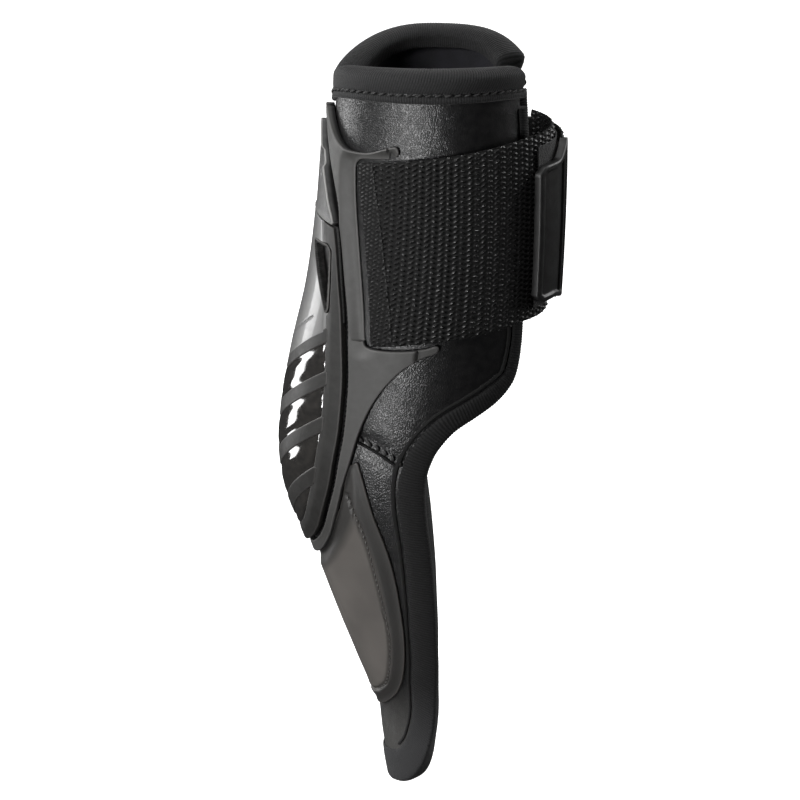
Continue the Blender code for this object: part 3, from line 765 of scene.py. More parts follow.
def knit_look(name, dark, light, pitch, sheen):
    look = Look(name, dark, 0.8, 0.25, Sheen_Weight=sheen, Sheen_Roughness=0.45)
    where = look.pattern()
    fuzz = look.noise(where, 2.2, 4.0, 0.75)
    look.bump(look.cells(where, 1 / pitch), 0.12, 0.6)
    look.bump(fuzz, 0.08, 0.6)
    # Painted shade: the rib height darkens the colour into the grooves between the ribs, over a random fuzz
    # tone.
    tone_and_painted_shade = look.math("MULTIPLY", look.spread_noise(fuzz, 0.35, 1.0), look.edge())
    look.tint(look.math("ADD", tone_and_painted_shade, look.math("MULTIPLY", look.near_tip(), 1.8)), dark, light)
    return look.material


def webbing_look():
    look = Look("webbing", 0.012, 0.42)
    where = look.pattern()
    look.bump(look.twill(where, 2.2, Distortion=3.0, Detail=2.0), 0.03, 0.6)
    yarn = look.noise(where, 1.1, 2.0)
    raised = look.edge()
    # Painted shade: the colour darkens from the yarn crowns into the gaps between them by the weave height,
    # over a random yarn tone.
    tone_and_painted_shade = look.math("MULTIPLY", look.spread(yarn, 0.35, 0.65, 0.35, 1.0), look.math("POWER", raised, 1.5))
    look.tint(tone_and_painted_shade, 0.0002, 0.0095)
    look.rough(look.spread(raised, 0.2, 0.6, 0.9, 0.25))
    return look.material


def moulding_look(name, base, light, roughness, grain, specular=0.4, **sockets):
    """Moulded plastic or rubber: grained, with slow colour changes, edges rubbed lighter and painted shade
    down the walls.
    """
    look = Look(name, base, roughness, specular, **sockets)
    where = look.pattern()
    look.grain(where, grain)
    look.tint_edges(base, light)
    look.rough(look.spread_noise(look.noise(where, 0.3, 5.0, 0.7), roughness - 0.06, roughness + 0.08))
    return look.material


def strike_look():
    """Warm grey rubber, with a darker flange round it."""
    look = Look("strike_rubber", (0.07, 0.065, 0.06), 0.5, 0.4)
    where = look.pattern()
    look.grain(where, 0.02)
    inside = look.edge()
    worn = look.spread(inside, 0.0, 0.7, 0.45, 0.0)
    slow = look.spread(look.noise(where, 0.06, 2.0), 0.35, 0.65, 0.75, 1.0)
    field = look.math("MULTIPLY", look.spread(inside, 4.2, 7.4, 0.12, 1.0), slow)
    look.tint(look.math("ADD", worn, field), (0.024, 0.0235, 0.023), (0.105, 0.097, 0.09))
    return look.material


def window_look():
    look = Look("smoke_window", 0.012, 0.12, 0.6, Coat_Weight=0.6, Coat_Roughness=0.04)
    smear = look.noise(look.pattern(), 0.4, 4.0, 0.6)
    look.bump(smear, 0.02, 0.3)
    look.rough(look.spread_noise(smear, 0.08, 0.14))
    look.tint(look.spread_noise(smear, 0.0, 1.0), (0.016, 0.0155, 0.015), (0.03, 0.028, 0.026))
    return look.material


def pile_look(name, colour, scale, height):
    look = Look(name, colour, 0.9, 0.2, Sheen_Weight=0.3)
    where = look.pattern()
    look.bump(look.cells(where, scale), height, 0.9)
    look.bump(look.noise(where, 4.0, 4.0, 0.7), height, 0.6)
    return look.material


def hidden_look(name, colour, roughness):
    """For a CAD node that shows only in a gap."""
    look = Look(name, colour, roughness, 0.3)
    fine = look.noise(look.in_space(1000.0), 2.0)
    look.bump(fine, 0.05, 0.6)
    look.tint(look.spread_noise(fine, 0.0, 1.0), colour, tuple(c * 1.6 for c in colour))
    return look.material


def thread_look(name, dark, light):
    look = Look(name, dark, 0.5, 0.4)
    twist = look.twill(look.pattern(), 3.0)
    look.bump(twist, 0.05, 0.7)
    look.tint(twist, dark, light)
    return look.material


def floor_look(name, glow):
    look = Look(name, 0.9, 0.6, 0.0, Emission_Color=rgba(1.0), Emission_Strength=glow)
    look.tint(look.spread_noise(look.noise(look.in_space(1.0), 30.0), 0.0, 1.0), 0.88, 0.92)
    return look.material


# The padded pieces.


def edge_at(z):
    """Where the padding's near edge is at each height."""
    line = smooth_line(PAD_EDGE, 2.0)
    return np.interp(z, line[::-1, 1], line[::-1, 0])


def pad_grid(count=37, pitch=2.6):
    """The near half of the padding as a grid: s and z, with s growing along the first axis."""
    foot, level, top = -193.5, 40.0, 62.0
    heights = np.linspace(foot, top, round((top - foot) / pitch))
    share = np.linspace(0, 1, count)
    s = share[:, None] * (edge_at(heights) - 0.3 + PAD_OVERLAP)[None, :] - PAD_OVERLAP
    high = np.clip((heights - level) / (top - level), 0, 1)[None, :]
    z = np.minimum(heights, level)[None, :] + high * (np.minimum(near_rim(s), far_rim(s)) - level)
    return s, z


def covered(s, z):
    """True where the near half of the padding is held down by what is sewn or glued over it."""
    edge_tape, top_band, middle_seam, margin = 9, 10.5, 12, 0.8
    held = (edge_at(z) - s < edge_tape) | (pad_top(s) - z < top_band) | (s < middle_seam)
    for outline in (frame_line(), strike_pad_line()):
        held |= side_depth(outline, s, z) > -margin
    return held


def clear_of_tapes(s, z):
    """True where nothing holds the lining down."""
    edge_tape, top_band, middle_seam = 10, 11, 1
    return (edge_at(z) - s > edge_tape) & (pad_top(s) - z > top_band) & (s > middle_seam)


def joined(*stretches):
    """One line from several smooth stretches that meet in corners."""
    return np.vstack([smooth_line(part, 1.5) for part in stretches])


def frame_line():
    return joined(*FRAME_STRETCHES)


def strike_pad_line():
    return joined(STRIKE_PAD_HEAD, STRIKE_PAD_EDGE)


CLOTH_FRAMES = 20
CLOTH_SETTINGS = {
    "quality": 4,
    "mass": 0.3,
    "tension_stiffness": 12,
    "compression_stiffness": 12,
    "bending_stiffness": 1.5,
    "use_pressure": True,
    "uniform_pressure_force": 4,
    "vertex_group_mass": "held",
}


def simulate(obj, free, cap):
    """Cloth pressure swells the free points of a closed pad, by at most the cap, in millimetres."""
    rest = points_of(obj)
    pins = obj.vertex_groups.new(name="held")
    pins.add([int(i) for i in np.flatnonzero(~free)], 1.0, "REPLACE")
    cloth = obj.modifiers.new("cloth", "CLOTH")
    for key, value in CLOTH_SETTINGS.items():
        setattr(cloth.settings, key, value)
    cloth.settings.effector_weights.gravity = 0
    cloth.collision_settings.use_collision = False
    cloth.point_cache.frame_start, cloth.point_cache.frame_end = 1, CLOTH_FRAMES
    scene = bpy.context.scene
    for frame_number in range(1, CLOTH_FRAMES + 1):
        scene.frame_set(frame_number)
    shift = points_of(obj.evaluated_get(bpy.context.evaluated_depsgraph_get())) - rest
    length = np.linalg.norm(shift, axis=1, keepdims=True) + 1e-12
    soft = cap * MM * np.tanh(length / (cap * MM))
    obj.modifiers.clear()
    scene.frame_set(1)
    set_points(obj, rest + shift / length * soft)
    print(obj.name, "swells by", round(float(length.max() / MM), 2), "mm before the cap")


def set_points(obj, points):
    obj.data.vertices.foreach_set("co", points.astype(np.float32).ravel())
    obj.data.update()


def read_vectors(data, key):
    values = np.empty(len(data) * 3, np.float32)
    data.foreach_get(key, values)
    return values.reshape(-1, 3)


def points_of(obj):
    return read_vectors(obj.data.vertices, "co").astype(float)


def other_side(obj, name):
    """A mirrored copy on the far side, with its own pattern coordinates."""
    copy = bpy.data.objects.new(name, obj.data.copy())
    copy.data.name = name
    bpy.context.scene.collection.objects.link(copy)
    turn_over(copy)
    return copy


PADDING_SWELL, LINING_SWELL = 1.8, 1.0
DART_PULL, DART_REACH = 1.1, 2.2


def build_padding(looks):
    s, z = pad_grid()
    flat_s, flat_z = s.ravel(), z.ravel()
    still = np.zeros(s.size, bool)
    loose = ~covered(flat_s, flat_z)
    roomy = clear_of_tapes(flat_s, flat_z)
    for word, (inner, outer), slot, cap, free in (
        ("padding", PADDING, "leather", PADDING_SWELL, (loose, still)),
        ("lining", LINING, "lining", LINING_SWELL, (still, roomy)),
    ):
        near = slab(f"near_{word}", s, z, np.full_like(s, inner), np.full_like(s, outer), looks[slot])
        simulate(near, np.concatenate(free), cap)
        if word == "padding":
            crease_padding(near, flat_s, flat_z)
        for obj, side in ((near, "near"), (other_side(near, f"far_{word}"), "far")):
            extra = obj.modifiers.new("smooth", "SUBSURF")
            extra.levels = extra.render_levels = 1
            bend(obj, slot, "sleeve", f"{side}_flap", FLAP_BEND, f"rear_{word}", f"{side}_flap_{word}")


def crease_padding(obj, s, z):
    """Pulls the leather's outer face in along the dart seam."""
    co = points_of(obj)
    pull = DART_PULL * swell(distance_to(np.array(DART, float), s, z), DART_REACH)
    co[: len(s)] -= (wrap(s, z, np.ones(len(s))) - wrap(s, z, np.zeros(len(s)))) * pull[:, None]
    set_points(obj, co)


# The bindings.


def tape_section(span, outer, inner, cap=BINDING_CAP, roundness=0.8, inside=1.0):
    """The section of a folded tape, in (w, r): out from its sewn edge, round the fold, and back inside.

    inside is the share of the span that the tape reaches down the inner face."""
    middle, half = (outer + inner) / 2, (outer - inner) / 2
    turns = np.linspace(math.pi / 2, -math.pi / 2, 15)
    across, along = -cap * np.abs(np.cos(turns)) ** roundness, np.sin(turns)
    fold = columns(across, middle + half * np.sign(along) * np.abs(along) ** roundness)
    sewn, slot = 0.4, 0.2
    shares = (1, 0.97, 0.9, 0.78, 0.6, 0.4, 0.2)
    crown = [(span * w, sewn + (outer - sewn) * math.sqrt(1 - w**2.6)) for w in shares]
    foot = [(span * w * inside, inner) for w in (0.3, 1)]
    back = LINING[0] - 0.3
    return np.array([*crown, *fold, *foot, (span * inside, back), (-0.3, back), (-0.3, slot), (span, slot)])


SLOT_POINTS = 4  # the last points of a tape's section lie against the padding
RIB_PITCH = 0.95


def ribbed(section, count, step, pitch, height, slant=0.0):
    """The section repeated at evenly spaced places, with ribs of yarn outside, and the ribs' heights."""
    w, r = section.T
    place = np.arange(count)[:, None] * step + slant * w
    wave = np.abs(np.cos(math.pi * place / pitch)) ** 0.8
    middle = (r.max() + r.min()) / 2
    towards = np.where(r[:, None] > middle, (0.0, 1.0), (0.0, -1.0))
    fold = w < 0
    towards[fold] = unit(columns(w * 2.0, r - middle)[fold])
    towards[-SLOT_POINTS:] = 0
    return section + height * (wave[:, :, None] - 0.5) * towards, wave


def binding_width(z):
    """How far the edge tape reaches over the leather at each height."""
    heights = (-160.0, -140.0, -119.0, -100.0, -75.0, -50.0, -41.0, -31.0)
    widths = (10.4, 9.2, 8.0, 7.0, 6.3, 5.8, 3.6, 3.0)
    return np.interp(z, heights, widths)


def flattened(profile, base, share):
    """The profile with what stands over the base pressed down to a share of its height, place by place."""
    r = profile[:, :, 1]
    profile[:, :, 1] = np.where(r > base, base + (r - base) * share[:, None], r)


def build_edge_bindings(looks):
    """The ribbed tape from the top of each flap down to the guard's tip, with the piping beside it."""
    step = 0.17
    line = spaced(smooth_line(PAD_EDGE, 1.0), step)
    span, outer, inner = 9.0, 1.9, -9.6
    section = tape_section(span, outer, inner)
    profile, height = ribbed(section, len(line), step, RIB_PITCH, 0.3, slant=0.12)
    wide = section[:, 0] > 0
    profile[:, wide, 0] = section[wide, 0] / span * binding_width(line[:, 1])[:, None]
    flattened(profile, 0.5, 1 - 0.6 * ramp(line[:, 1], -160, -182))
    near = swept("near_edge_binding", line, profile, height, looks["binding"])
    below_strap = line[(line[:, 1] < -22) & (line[:, 0] > 30)][::3]
    turns = turns_of(8)
    across = (binding_width(below_strap[:, 1]) + 1.5)[:, None] + 0.7 * np.cos(turns)
    cord = np.stack([across, np.broadcast_to(0.15 + 0.65 * np.sin(turns), across.shape)], axis=2)
    cords = swept("near_edge_piping", below_strap, cord, None, looks["piping"])
    for side in ("near", "far"):
        binding = near if side == "near" else other_side(near, "far_edge_binding")
        piping = cords if side == "near" else other_side(cords, "far_edge_piping")
        nodes = (f"{side}_flap_edge_binding", "guard_binding")
        bend(binding, "binding_knit", "sleeve", f"{side}_flap", FLAP_BEND, *nodes)
        bend(piping, "binding_knit", "sleeve", f"{side}_flap", FLAP_BEND)


def band_depth(s, drop):
    """From the padding's top edge down to the stitches along the top band."""
    return 5.6 + 2.3 * (1 - np.cos(s / PATTERN_RADIUS) ** 2) - drop * np.abs(np.sin(s / PATTERN_RADIUS))


def build_top_band(looks):
    """The knitted tape over the rim: a wide face, a row of stitches and a narrow roll below them."""
    for word, rim, drop in (("near", near_rim, NEAR_RIM_DROP), ("far", far_rim, 0.0)):
        places = np.arange(0.0, FLAP_EDGE_S + 1.8, 0.16)
        line = columns(places, rim(places))
        width = band_depth(places, drop)
        seam = columns(places, line[:, 1] - width)
        band = swept(f"{word}_top_band", line, *band_profile(places, width), looks["band"])
        roll = swept(f"{word}_top_roll", seam - (0, 1.75), *roll_profile(places), looks["band"])
        row = threads(
            f"{word}_top_stitches", seam, looks["thread"],
            length=2.7, pitch=3.3, width=0.95, r=1.25, slant=-0.3,
        )  # fmt: skip
        for obj, nodes in ((band, ("rear_top_binding", f"{word}_flap_top_binding")), (roll, ()), (row, ())):
            if word == "far":
                turn_over(obj)
            bend(obj, "binding_knit", "sleeve", f"{word}_flap", FLAP_BEND, *nodes)


def band_profile(places, width):
    """The band's section at each place: its face is ribbed, and its end is rounded off."""
    section = tape_section(1.0, 2.1, -9.4, cap=3.4, roundness=1.0, inside=0.5)
    wide = section[:, 0] > 0
    stretched = section * np.where(wide[:, None], (7.5, 1), 1)
    profile, height = ribbed(stretched, len(places), places[1] - places[0], RIB_PITCH, 0.24, slant=0.25)
    profile[:, wide, 0] = section[wide, 0] * (width[:, None] - 0.3)
    flattened(profile, 0.4, 1 - 0.55 * np.cos(places / PATTERN_RADIUS).clip(0, 1) ** 2)
    reach, centre = 3.0, np.array([2.0, -4.0])
    share = np.clip((places - places[-1] + reach) / reach, 0, 0.97)
    return centre + (profile - centre) * np.sqrt(1 - share**2)[:, None, None], height


def roll_profile(places):
    turns = turns_of(12)
    width = 1.25 + 0.3 * (1 - np.cos(places / PATTERN_RADIUS) ** 2)
    rib = np.abs(np.cos(math.pi * places / RIB_PITCH))[:, None] ** 0.7 + 0 * turns
    out = 0.3 + np.sin(turns) * (1.0 + 0.15 * rib)
    return np.stack([np.cos(turns) * width[:, None], out], axis=2), rib


def turn_over(obj):
    """Moves a piece to the other side of the boot."""
    set_points(obj, points_of(obj) * (1, -1, 1))
    obj.data.flip_normals()
    flat = obj.data.attributes["pattern"].data
    values = read_vectors(flat, "vector")
    values[:, 0] *= -1
    flat.foreach_set("vector", values.ravel())


# The mouldings.


def build_frame(looks):
    half = eased(frame_line(), 0.7)
    groove = smooth_line(GROOVE, 2.0)
    pocket = smooth_line(POCKET_LINE, 2.0)

    def region(s, z):
        return np.minimum(side_depth(half, s, z), -side_depth(groove, s, z) - groove_half(z))

    def height(s, z, inside):
        """The face falls away towards the strap's pocket, and steps down at the tips of the arms."""
        near = np.abs(s)
        fall = -2.5 * ramp(distance_to(pocket, near, z), 5.6, 0.6) * ramp(near, 41, 38)
        lower_tip = -1.3 * ramp(near, 50.2, 50.9)
        upper_tip = -1.2 * ramp(near + 0.25 * z, 47.4, 48.1) * (z > 30)
        return np.where(z < -27.5, 0.35 * fall, fall) + lower_tip + upper_tip

    frame = moulded(
        "support_frame_shell", region, ((-58.4, -114), (58.4, 54)), FRAME, looks["frame"],
        bevel=0.5, pitch=0.55, height=height,
    )  # fmt: skip
    fix(frame, "frame_tpu", "support_frame")
    fix(swept_groove_floor(groove, looks), "frame_tpu")
    for side, word in SIDES:
        line = groove[4:-9] * (side, 1)
        row = threads(
            f"{word}_shell_stitches", line, looks["thread"],
            length=1.2, pitch=1.8, width=0.5, r=1.7, slant=0.3,
        )  # fmt: skip
        fix(row, "webbing")


def swept_groove_floor(groove, looks):
    """A dark strip along the bottom of the groove between frame and shell."""
    whole = np.vstack([groove, mirrored(groove)[1:]])
    width, low, high = 2.2, 0.25, 1.2
    section = np.array([(-width, low), (-width, high), (width, high), (width, low)])
    return swept("shell_seam_tape", spaced(whole, 1.5), section, None, looks["piping"])


def groove_half(z):
    """Half the groove's width: it is wider beside the upper plate."""
    return GROOVE_HALF + 1.3 * ramp(z, PLATE_FOOT, PLATE_FOOT + 10)


def chevron_rise(s):
    """How far a rib stands below its end at the rim, at each s. It is rounded over the middle of the back."""
    return -RIB_DROP * (1 - np.sqrt(np.asarray(s) ** 2 + 6.0) / RIB_REACH)


def plate_foot(s):
    return PLATE_FOOT + PLATE_FOOT_SLOPE * (22 - np.abs(s))


def above_ribs(s, z):
    """How far a point of the shell is above the first rib."""
    return z - chevron_rise(s) - RIB_TOPS[0]


def rib_bands(s, z):
    """Positive on a rib: half its height less the distance to its middle line."""
    level = z - chevron_rise(s)
    lean = math.cos(math.atan(RIB_DROP / RIB_REACH))
    half = RIB_HEIGHT / 2
    return np.max([(half - np.abs(level - top + half)) * lean for top in RIB_TOPS], axis=0)


def build_shell(looks):
    low = ((-34.4, -109), (34.4, PLATE_FOOT + 9))
    groove = smooth_line(GROOVE, 2.0)

    def inside_groove(s, z):
        return side_depth(groove, s, z) - groove_half(z)

    def lower(s, z):
        return np.minimum(inside_groove(s, z), plate_foot(s) - 0.3 - z)

    def below_rim(s, z):
        """The skin and the windows tuck under the rim."""
        return -0.9 * ramp(inside_groove(s, z), SHELL_RIM_WIDTH + 0.9, SHELL_RIM_WIDTH - 0.7)

    def clear_of_vents(s, z):
        return -depth(VENT_EDGE, np.abs(s), z) - 0.3

    def skin(s, z):
        return np.min([lower(s, z), above_ribs(s, z) + 1.5, clear_of_vents(s, z) + 1.0], axis=0)

    def skin_height(s, z, inside):
        """The full skin over the gel has one fine line in it."""
        line = -0.4 * swell(above_ribs(s, z) - 7.5, 0.4) * ramp(np.abs(s), 16, 14)
        return 0.75 + line + below_rim(s, z)

    def windows(s, z):
        return np.minimum(lower(s, z), -1.2 - above_ribs(s, z))

    def window_height(s, z, inside):
        """Each window bulges between its ribs."""
        return 0.35 + 0.35 * ramp(-rib_bands(s, z), 0.0, 3.0) + below_rim(s, z)

    def ribs(s, z):
        return np.minimum(rib_bands(s, z), inside_groove(s, z) - SHELL_RIM_WIDTH + 1.2)

    def rim(s, z):
        """A band along the groove and across the top, with room left for the vents."""
        band = np.maximum(SHELL_RIM_WIDTH - inside_groove(s, z), z - VENT_BAND_FOOT)
        return np.min([lower(s, z), band, clear_of_vents(s, z)], axis=0)

    def rim_height(s, z, inside):
        """The rim's face leans in from the groove."""
        return -0.5 * ramp(inside_groove(s, z), 3.2, 6.6)

    pieces = (
        ("shell_skin", skin, WINDOW, "skin", 0.4, skin_height, "shell_window", "shell_tpu"),
        ("shell_window_skin", windows, WINDOW, "window", 0.4, window_height, "shell_window", "window_tpu"),
        ("shell_ribs", ribs, RIBS, "cage", 0.4, nothing, "shell_cage", "shell_tpu"),
        ("shell_rim", rim, SHELL_RIM, "cage", 0.35, rim_height, "shell_cage", "shell_tpu"),
    )
    for name, region, layer, look, bevel, height, node, slot in pieces:
        obj = moulded(name, region, low, layer, looks[look], bevel=bevel, pitch=0.5, height=height)
        fix(obj, slot, node)
    build_upper_plate(looks, inside_groove)
    build_vents(looks)


def build_upper_plate(looks, inside_groove):
    def region(s, z):
        return np.minimum(inside_groove(s, z), z - plate_foot(s) - 0.3)

    def height(s, z, inside):
        """A rolled edge, and a sunk oval on each side."""
        roll = 0.4 * ramp(inside, 1.9, 1.0)
        across = np.abs(s) - 6.5
        along = z - 32.5 + 0.8 * across
        return -0.1 + roll - 1.1 * ramp((across / 1.8) ** 2 + (along / 4.2) ** 2, 1.7, 0.7)

    plate = moulded(
        "upper_plate_skin", region, ((-22.2, PLATE_FOOT - 1), (22.2, 50)), PLATE, looks["plate"],
        bevel=0.5, pitch=0.5, height=height,
    )  # fmt: skip
    fix(plate, "shell_tpu", "upper_plate")


def build_vents(looks):
    def height(s, z, inside):
        """A raised double bezel round a deep throat."""
        return 0.3 - 2.4 * ramp(inside, 1.3, 1.7) - 0.5 * ramp(inside, 0.6, 0.8)

    for side, word in SIDES:
        outline = np.array(VENT_EDGE, float) * (side, 1)
        soft = eased(np.vstack([outline, outline[:1]]), 0.8)[:-1]
        box = (soft.min(axis=0) - 0.6, soft.max(axis=0) + 0.6)
        name, region = f"{word}_vent_bezel", partial(depth, soft)
        # The vent's look lightens the bezel's edges: wear, with a painted highlight.
        vent = moulded(name, region, box, VENT, looks["vent_wear_and_painted_highlight"], bevel=0.3, pitch=0.3, height=height)
        fix(vent, "window_tpu", f"{word}_vent_insert")


def build_strike_pad(looks):
    half = eased(strike_pad_line(), 0.8)
    seam = smooth_line(STRIKE_STITCHES, 2.0)
    whole_seam = np.vstack([seam, [(9, -164.0), (0, -164.5)]])

    def height(s, z, inside):
        """A raised field inside the stitched seam, which the flange falls away from."""
        near = np.abs(s)
        groove = -1.0 * swell(distance_to(whole_seam, near, z), 0.55)
        flange = -1.3 * ramp(inside, 5.4, 0.8)
        foot = -0.6 * ramp(z, -150, -164)
        crease = -0.35 * swell(near - 10 + 0.22 * (z + 128), 2.2) * ramp(z, -104, -112) * ramp(z, -140, -132)
        return groove + flange + foot + crease

    pad = moulded(
        "strike_pad_skin", partial(side_depth, half), ((-45, -172), (45, -72)), STRIKE_PAD, looks["strike"],
        bevel=0.5, pitch=0.6, height=height,
    )  # fmt: skip
    fix(pad, "strike_rubber", "pastern_strike_pad")
    for side, word in SIDES:
        line = seam * (side, 1)
        row = threads(
            f"{word}_strike_stitches", line, looks["light_thread"],
            length=1.1, pitch=2.1, width=0.5, r=2.35, slant=0.2,
        )  # fmt: skip
        fix(row, "webbing")


def build_dart(looks):
    """The seam that shapes the heel: two rows of thread over a pulled-in crease."""
    turns = turns_of(8)
    cord = columns(1.5 + 0.45 * np.cos(turns), 0.1 + 0.45 * np.sin(turns))
    for side, word in SIDES:
        line = smooth_line(DART, 0.6) * (side, 1)
        rows = threads(
            f"{word}_dart_stitches", line, looks["thread"],
            length=2.5, pitch=3.0, width=1.15, r=0.15, slant=0.45,
        )  # fmt: skip
        fix(rows, "webbing")
        fold = swept(f"{word}_dart_fold", spaced(line, 0.5), cord * (side, 1), None, looks["piping"])
        fix(fold, "leather")


# The webbing and the straps.


def weave(s, y):
    """The height, from 0 to 1, of a coarse herringbone: columns of yarns, leaning left and right in turn."""
    column_width, pick, slant = 2.15, 1.87, 0.5
    column = np.floor(s / column_width)
    u = s / column_width - column
    lean = np.where(column % 2 == 0, 1.0, -1.0)
    phase = y / pick + lean * slant * (u - 0.5) + 0.5 * (column % 2)
    yarn = np.cos(math.pi * phase) ** 2
    return yarn**1.3 * np.sin(math.pi * u)


def fine_weave(s, y):
    """The same weave pulled tight, where the tape is folded under and sewn."""
    return 0.75 * weave(s * 1.45, y * 1.2)


SELVEDGE = 0.55  # how far the tape thins towards its woven edge, and how soon


def tape(name, s, z, y, height, layer, look, lift, relief=0.85, hem=None):
    """A length of woven tape. y is the place across it, from 0 to height, for each point."""
    inner, outer = layer
    high = weave(s, y)
    if hem is not None:
        high = high * (1 - hem) + fine_weave(s, y) * hem
    to_edge = np.minimum(y, height - y)
    edge = SELVEDGE * swell(to_edge, SELVEDGE)
    top = outer - relief * (1 - high) - edge
    bottom = inner + 0.3 * relief * (1 - weave(s, y)) + edge
    # The weave height also goes to the look, which paints shade between the yarns with it.
    return slab(name, s, z, bottom, top, look, lift, tint=high)


def near_tape_grid(s_low, s_high, count):
    """Pattern points of the near strap between two places along it. It starts at its slanting anchor if the
    first place isn't given."""
    (top_s, top_z), (foot_s, foot_z) = WEBBING_ANCHOR_TOP, WEBBING_ANCHOR_FOOT
    height = top_z - foot_z + SLOPE * (foot_s - top_s)
    v = np.linspace(0, 1, 206)[None, :]
    u = np.linspace(0, 1, count)[:, None]
    start = foot_s + (top_s - foot_s) * v if s_low is None else s_low + 0 * v
    s = start + (s_high - start) * u
    foot = foot_z + SLOPE * (np.minimum(s, WEBBING_LEVEL_S) - foot_s)
    return s, foot + height * v, height * v + 0 * s, height


def build_near_strap(looks):
    middle = 57.5
    s, z, y, height = near_tape_grid(None, middle, 74)
    hem = ramp(s, s[:1] + 5.8, s[:1] + 5.3)
    back = tape("near_strap_back", s, z, y, height, WEBBING, looks["webbing"], webbing_lift, hem=hem)
    nodes = ("near_strap_sewn_end", "near_strap_side")
    bend(back, "webbing", "sleeve", "near_strap", STRAP_BEND, *nodes)
    s, z, y, height = near_tape_grid(middle, WEBBING_END, 152)
    front = tape("near_strap_tip_web", s, z, y, height, WEBBING, looks["webbing"], webbing_lift)
    bend(front, "webbing", "near_strap", "near_strap_tip", WEBBING_CORNER_BEND, "near_strap_front")
    (top_s, top_z), (foot_s, foot_z) = WEBBING_ANCHOR_TOP, WEBBING_ANCHOR_FOOT
    seam = np.array([(top_s + 6.0, top_z + 0.2), (foot_s + 6.0, foot_z + 1.2)])
    row = threads("near_anchor_stitches", seam, looks["thread"], length=1.6, pitch=2.4, width=0.5, r=3.1)
    bend(row, "webbing", "sleeve", "near_strap", STRAP_BEND)


def closure_middle(s):
    return STRAP_MIDDLE - SLOPE * np.maximum(0.0, s - WEBBING_END)


def closure_grid(start, end, count, sewn=False):
    v = np.linspace(0, 1, 150)[None, :]
    u = np.linspace(0, 1, count)[:, None]
    last = end + 0 * v
    if sewn:
        (top_s, top_z), (foot_s, foot_z) = WEBBING_ANCHOR_TOP, WEBBING_ANCHOR_FOOT
        z_there = closure_middle(end) + STRAP_HALF * (2 * v - 1)
        near_end = foot_s + (top_s - foot_s) * (z_there - foot_z) / (top_z - foot_z)
        last = 2 * FRONT_S - np.maximum(near_end, 2 * FRONT_S - end)
    s = start + (last - start) * u
    z = closure_middle(s) + STRAP_HALF * (2 * v - 1)
    return s, z, 2 * STRAP_HALF * v + 0 * s, 2 * STRAP_HALF


def build_closure_strap(looks):
    corner, front = (STRAP_CORNER_S + STRAP_FRONT_S) / 2, (STRAP_FRONT_S + STRAP_TAB_S) / 2
    back_end = 2 * FRONT_S - WEBBING_ANCHOR_TOP[0] - 4
    middle = 150.0
    lengths = (
        ("closure_strap_back", middle, back_end, True, "sleeve", "closure_strap", STRAP_BEND,
         ("closure_strap_sewn_end", "closure_strap_side")),
        ("closure_strap_bend", corner, middle, False, "closure_strap", "closure_corner", CLOSURE_CORNER_BEND,
         ("closure_strap_corner",)),
        ("closure_strap_turn", front, corner, False, "closure_corner", "closure_front", CLOSURE_FRONT_BEND,
         ("closure_strap_front",)),
        ("closure_strap_root", STRAP_TAB_S + 0.3, front, False, "closure_front", "pull_tab", TAB_BEND,
         ("closure_strap_front",)),
    )  # fmt: skip
    for name, start, end, sewn, a, b, places, nodes in lengths:
        s, z, y, height = closure_grid(start, end, max(8, round((end - start) / 0.42)), sewn)
        obj = tape(name, s, z, y, height, STRAP, looks["webbing"], closure_lift)
        bend(obj, "strap_web", a, b, places, *nodes)
    build_tab(looks)


def tab_outline():
    low, high = TAB_MIDDLE - TAB_HALF, TAB_MIDDLE + TAB_HALF
    root_low, root_high = STRAP_MIDDLE - STRAP_HALF, STRAP_MIDDLE + STRAP_HALF
    root = STRAP_TAB_S + 1.6
    corner = 2.5
    start = (TAB_END, low + corner)
    points = (
        start, (TAB_END + corner, low), (TAB_SHOULDER, low), (root, root_low), (root, root_high),
        (TAB_SHOULDER, high), (TAB_END + corner, high), (TAB_END, high - corner), start,
    )  # fmt: skip
    return eased(np.array(points, float), 1.0)[:-1]


def build_tab(looks):
    def height(s, z, inside):
        """A raised frame round a sunk field, with an upright ridge near the strap."""
        field = 0.8 * ramp(inside, 1.9, 2.4)
        return 0.5 - field + field * ramp(np.abs(s - 97.4), 0.9, 0.4)

    box = ((TAB_END - 1, -20), (STRAP_TAB_S + 3, 43))
    tab = moulded(
        "pull_tab_grip", partial(depth, tab_outline()), box, TAB, looks["tab"],
        bevel=0.7, pitch=0.45, height=height, lift=closure_lift,
    )  # fmt: skip
    bend(tab, "tab_rubber", "closure_front", "pull_tab", TAB_BEND, "pull_tab")


def build_panels(looks):
    def tufts(s, z, inside):
        return -0.14 * (1 - np.abs(np.sin(s * 2.3) * np.sin(z * 2.3 + s)))

    for name, low, high, layer, look, body, node in (
        ("loop_pile_panel", (87, -18), (WEBBING_END - 1, 41), LOOP, "loop", "near_strap_tip", "loop_panel"),
        ("hook_pile_panel", (102.2, -14), (112.8, 37), HOOK, "hook", "closure_front", "hook_panel"),
        ("tab_hook_patch", (88, -12), (99.6, 31), HOOK, "hook", "pull_tab", "pull_tab_hook_patch"),
    ):
        region = partial(depth, (low, (high[0], low[1]), high, (low[0], high[1])))
        box = (np.array(low) - 1, np.array(high) + 1)
        panel = moulded(name, region, box, layer, looks[look], 0.15, 0.6, height=tufts, lift=webbing_lift)
        fix(panel, "hook_loop", node, body=body)


def dress_hidden_nodes(frame, looks):
    for node, look, slot in (
        ("near_strap_ledge", "ledge", "frame_tpu"),
        ("far_strap_ledge", "ledge", "frame_tpu"),
        ("impact_gel_pad", "gel", "gel"),
    ):
        obj = frame["nodes"][node]
        obj.data.materials.clear()
        obj.data.materials.append(looks[look])


# The studio.


